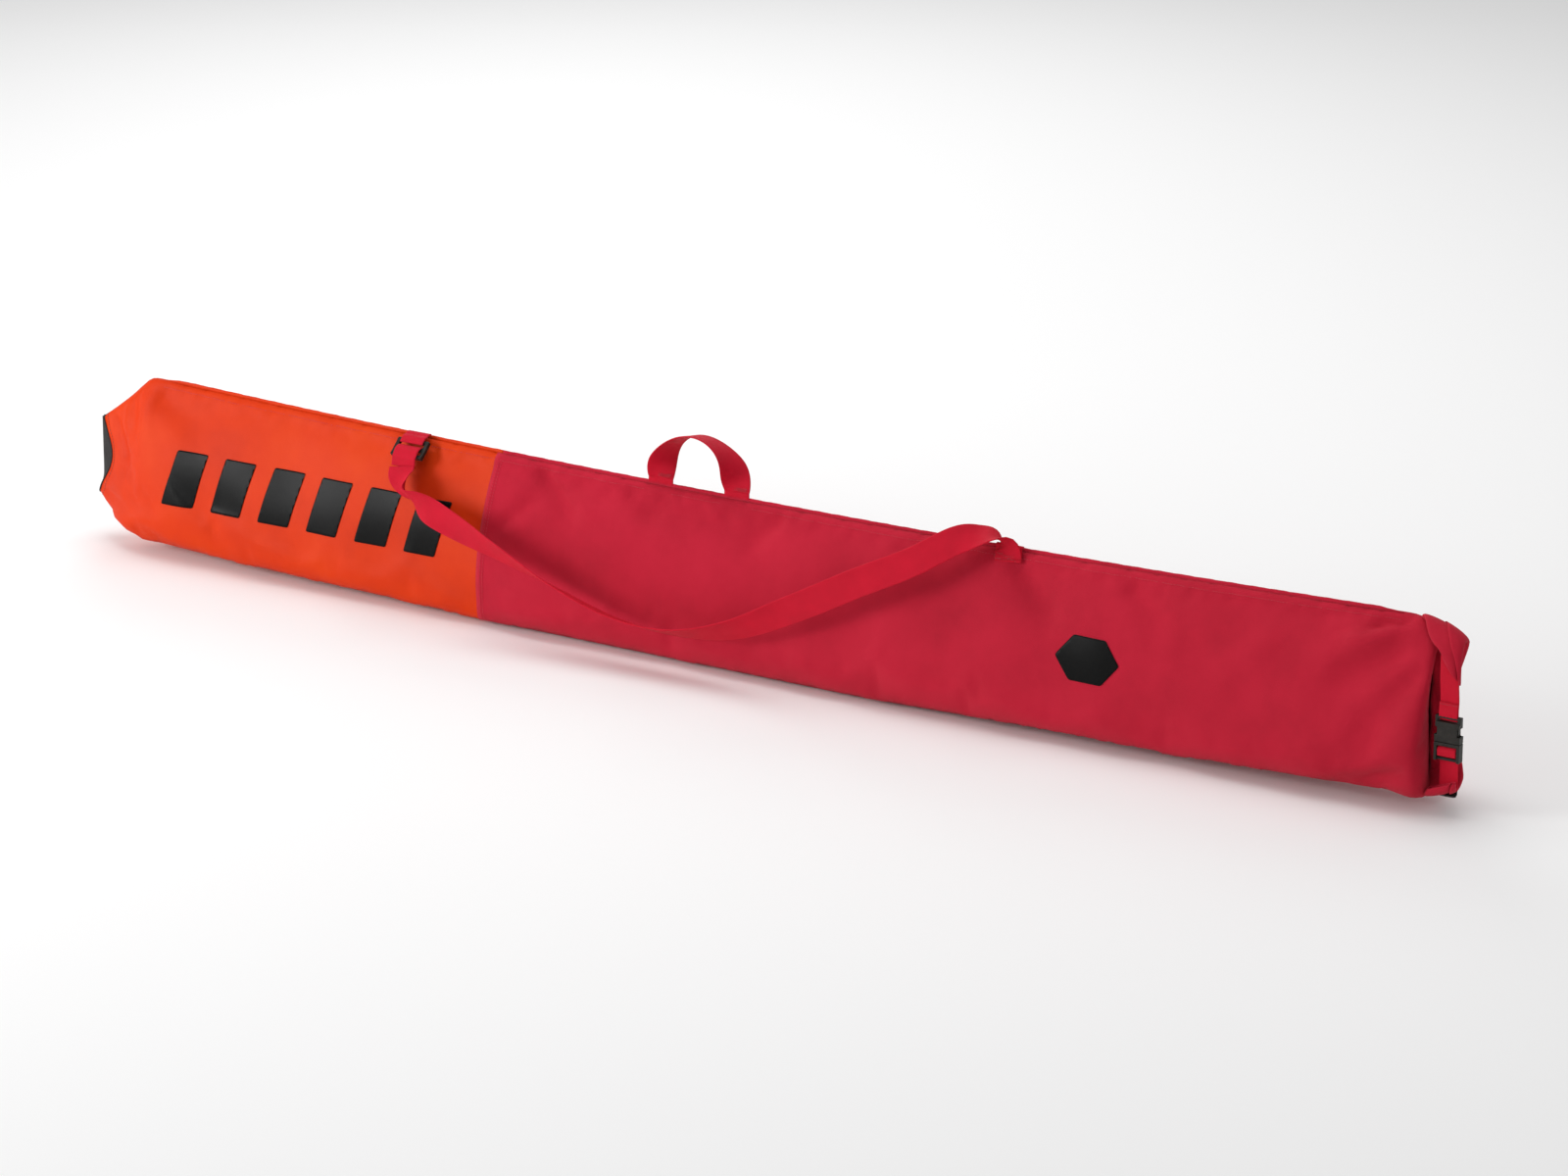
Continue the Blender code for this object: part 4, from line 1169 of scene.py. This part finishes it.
def place_buckle(materials):
    """Side-release buckle: a waisted female shell with side windows, and a male frame with spring arms."""
    x, y = (SHELL_LOW.x + SHELL_HIGH.x) / 2, (SHELL_LOW.y + SHELL_HIGH.y) / 2
    w, d = (SHELL_HIGH.x - SHELL_LOW.x) / 2, (SHELL_HIGH.y - SHELL_LOW.y) / 2
    low, high = SHELL_LOW.z, SHELL_HIGH.z
    wall, window = 0.0018, (low + 0.009, low + 0.019)
    front = -d
    boxes = [
        # front and back plates, narrower at the waist
        ((-w, front, low), (w, front + wall, window[0])),
        ((-w + 0.0035, front, window[0]), (w - 0.0035, front + wall, window[1])),
        ((-w + 0.0010, front, window[1]), (w - 0.0010, front + wall, high - 0.0075)),
        ((-w, d - wall, low), (w, d, window[0])),
        ((-w + 0.0035, d - wall, window[0]), (w - 0.0035, d, window[1])),
        ((-w + 0.0010, d - wall, window[1]), (w - 0.0010, d, high - 0.0075)),
        # side walls below and above the windows
        ((-w, -d, low), (-w + wall, d, window[0])), ((w - wall, -d, low), (w, d, window[0])),
        ((-w + 0.0010, -d, window[1]), (-w + 0.0010 + wall, d, high - 0.0070)),
        ((w - 0.0010 - wall, -d, window[1]), (w - 0.0010, d, high - 0.0070)),
        # roof of the shell, then the slot and the bar that the webbing goes round
        ((-w + 0.0010, -d, high - 0.0095), (w - 0.0010, d, high - 0.0072)),
        ((-w, -d * 0.62, high - 0.0090), (-w + 0.0038, d * 0.62, high)),
        ((w - 0.0038, -d * 0.62, high - 0.0090), (w, d * 0.62, high)),
        ((-w, -d * 0.62, high - 0.0032), (w, d * 0.62, high)),
    ]
    boxes = [((x + a[0], y + a[1], a[2]), (x + b[0], y + b[1], b[2])) for a, b in boxes]
    shell = boxes_joined("female_shell", boxes, None, materials["plastic"], voxel=0.00045, smooth=5)
    rides(shell, "closure", "buckle_black", "buckle_female_shell")

    low, high = BASE_LOW.z, BASE_TOP
    channel = CLOSURE_WEB / 2 + 0.0007
    boxes = [
        ((-w, -d, low), (-channel, d, high)), ((channel, -d, low), (w, d, high)),
        ((-w, -d, high - 0.0044), (w, d * 0.45, high)),
        ((-w, -d * 0.3, low + 0.0085), (w, d * 0.2, low + 0.0125)),
        ((-w, -d * 0.3, low), (w, d * 0.2, low + 0.0035)),
        ((-0.003, -0.0025, high - 0.0015), (0.003, 0.0025, high + 0.0200)),
    ]
    boxes = [((x + a[0], y + a[1], a[2]), (x + b[0], y + b[1], b[2])) for a, b in boxes]
    base = boxes_joined("male_frame", boxes, None, materials["plastic"], voxel=0.00045, smooth=5)
    rides(base, "buckle_male", "buckle_black", "buckle_male_base")

    for name, body, way in (("spring_arm_left", "arm_left", -1), ("spring_arm_right", "arm_right", 1)):
        arm_low, arm_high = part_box("buckle_arm_left" if way < 0 else "buckle_arm_right")
        inner = x + way * 0.0095
        outer = arm_low.x if way < 0 else arm_high.x
        boxes = []
        for k in range(10):
            t = k / 9
            z0 = arm_low.z + (arm_high.z - arm_low.z) * t * 0.9
            lean = way * 0.0018 * math.sin(math.pi * t)
            a, b = sorted((inner + lean * 0.4 + way * 0.0012 * t, outer - way * (0.0016 * (1 - t))))
            boxes.append(((a, arm_low.y, z0), (b, arm_high.y, z0 + 0.0026)))
        arm = boxes_joined(name, boxes, None, materials["plastic"], voxel=0.0004, smooth=6)
        rides(arm, body, "buckle_black", "buckle_arm_left" if way < 0 else "buckle_arm_right")


def main():
    studio()
    materials = {
        "orange": coated_cloth("coated_orange",
                               (0.50, 0.022, 0.001), (0.62, 0.034, 0.001), (0.68, 0.048, 0.002)),
        "red": woven_cloth("woven_red", (0.38, 0.004, 0.020), (0.50, 0.007, 0.029), (0.57, 0.011, 0.038)),
        "black": woven_cloth("woven_black",
                             (0.012, 0.011, 0.011), (0.022, 0.020, 0.020), (0.040, 0.036, 0.035)),
        "tape": woven_cloth("seam_tape", (0.05, 0.05, 0.05), (0.08, 0.08, 0.08), (0.11, 0.11, 0.11),
                            rough=(0.4, 0.5)),
        "web": webbing("webbing_red", (0.44, 0.002, 0.017), (0.60, 0.003, 0.023), (0.70, 0.004, 0.030)),
        "film": print_film(),
        "plastic": moulded_plastic(),
        "thread_red": thread("thread_red", (0.60, 0.020, 0.045)),
        "thread_web": thread("thread_webbing", (0.50, 0.010, 0.030)),
        "thread_black": thread("thread_black", (0.030, 0.028, 0.028)),
    }
    shaped, normal, ridge_column = make_body(materials)
    tree = front_of(shaped)
    make_tail(materials, shaped)
    make_tail_binding(materials, shaped)
    make_seams(materials, tree, shaped, normal, ridge_column)
    make_prints(materials, tree)
    place_handle(materials)
    place_strap(materials, tree)
    place_lock(materials)
    place_tab(materials, tree)
    place_neck(materials, shaped)
    place_closure(materials)
    place_closure_webs(materials)
    place_buckle(materials)
    stiffener = bpy.data.objects["mouth_stiffener"]
    stiffener.data.materials.clear()
    stiffener.data.materials.append(materials["plastic"])


main()
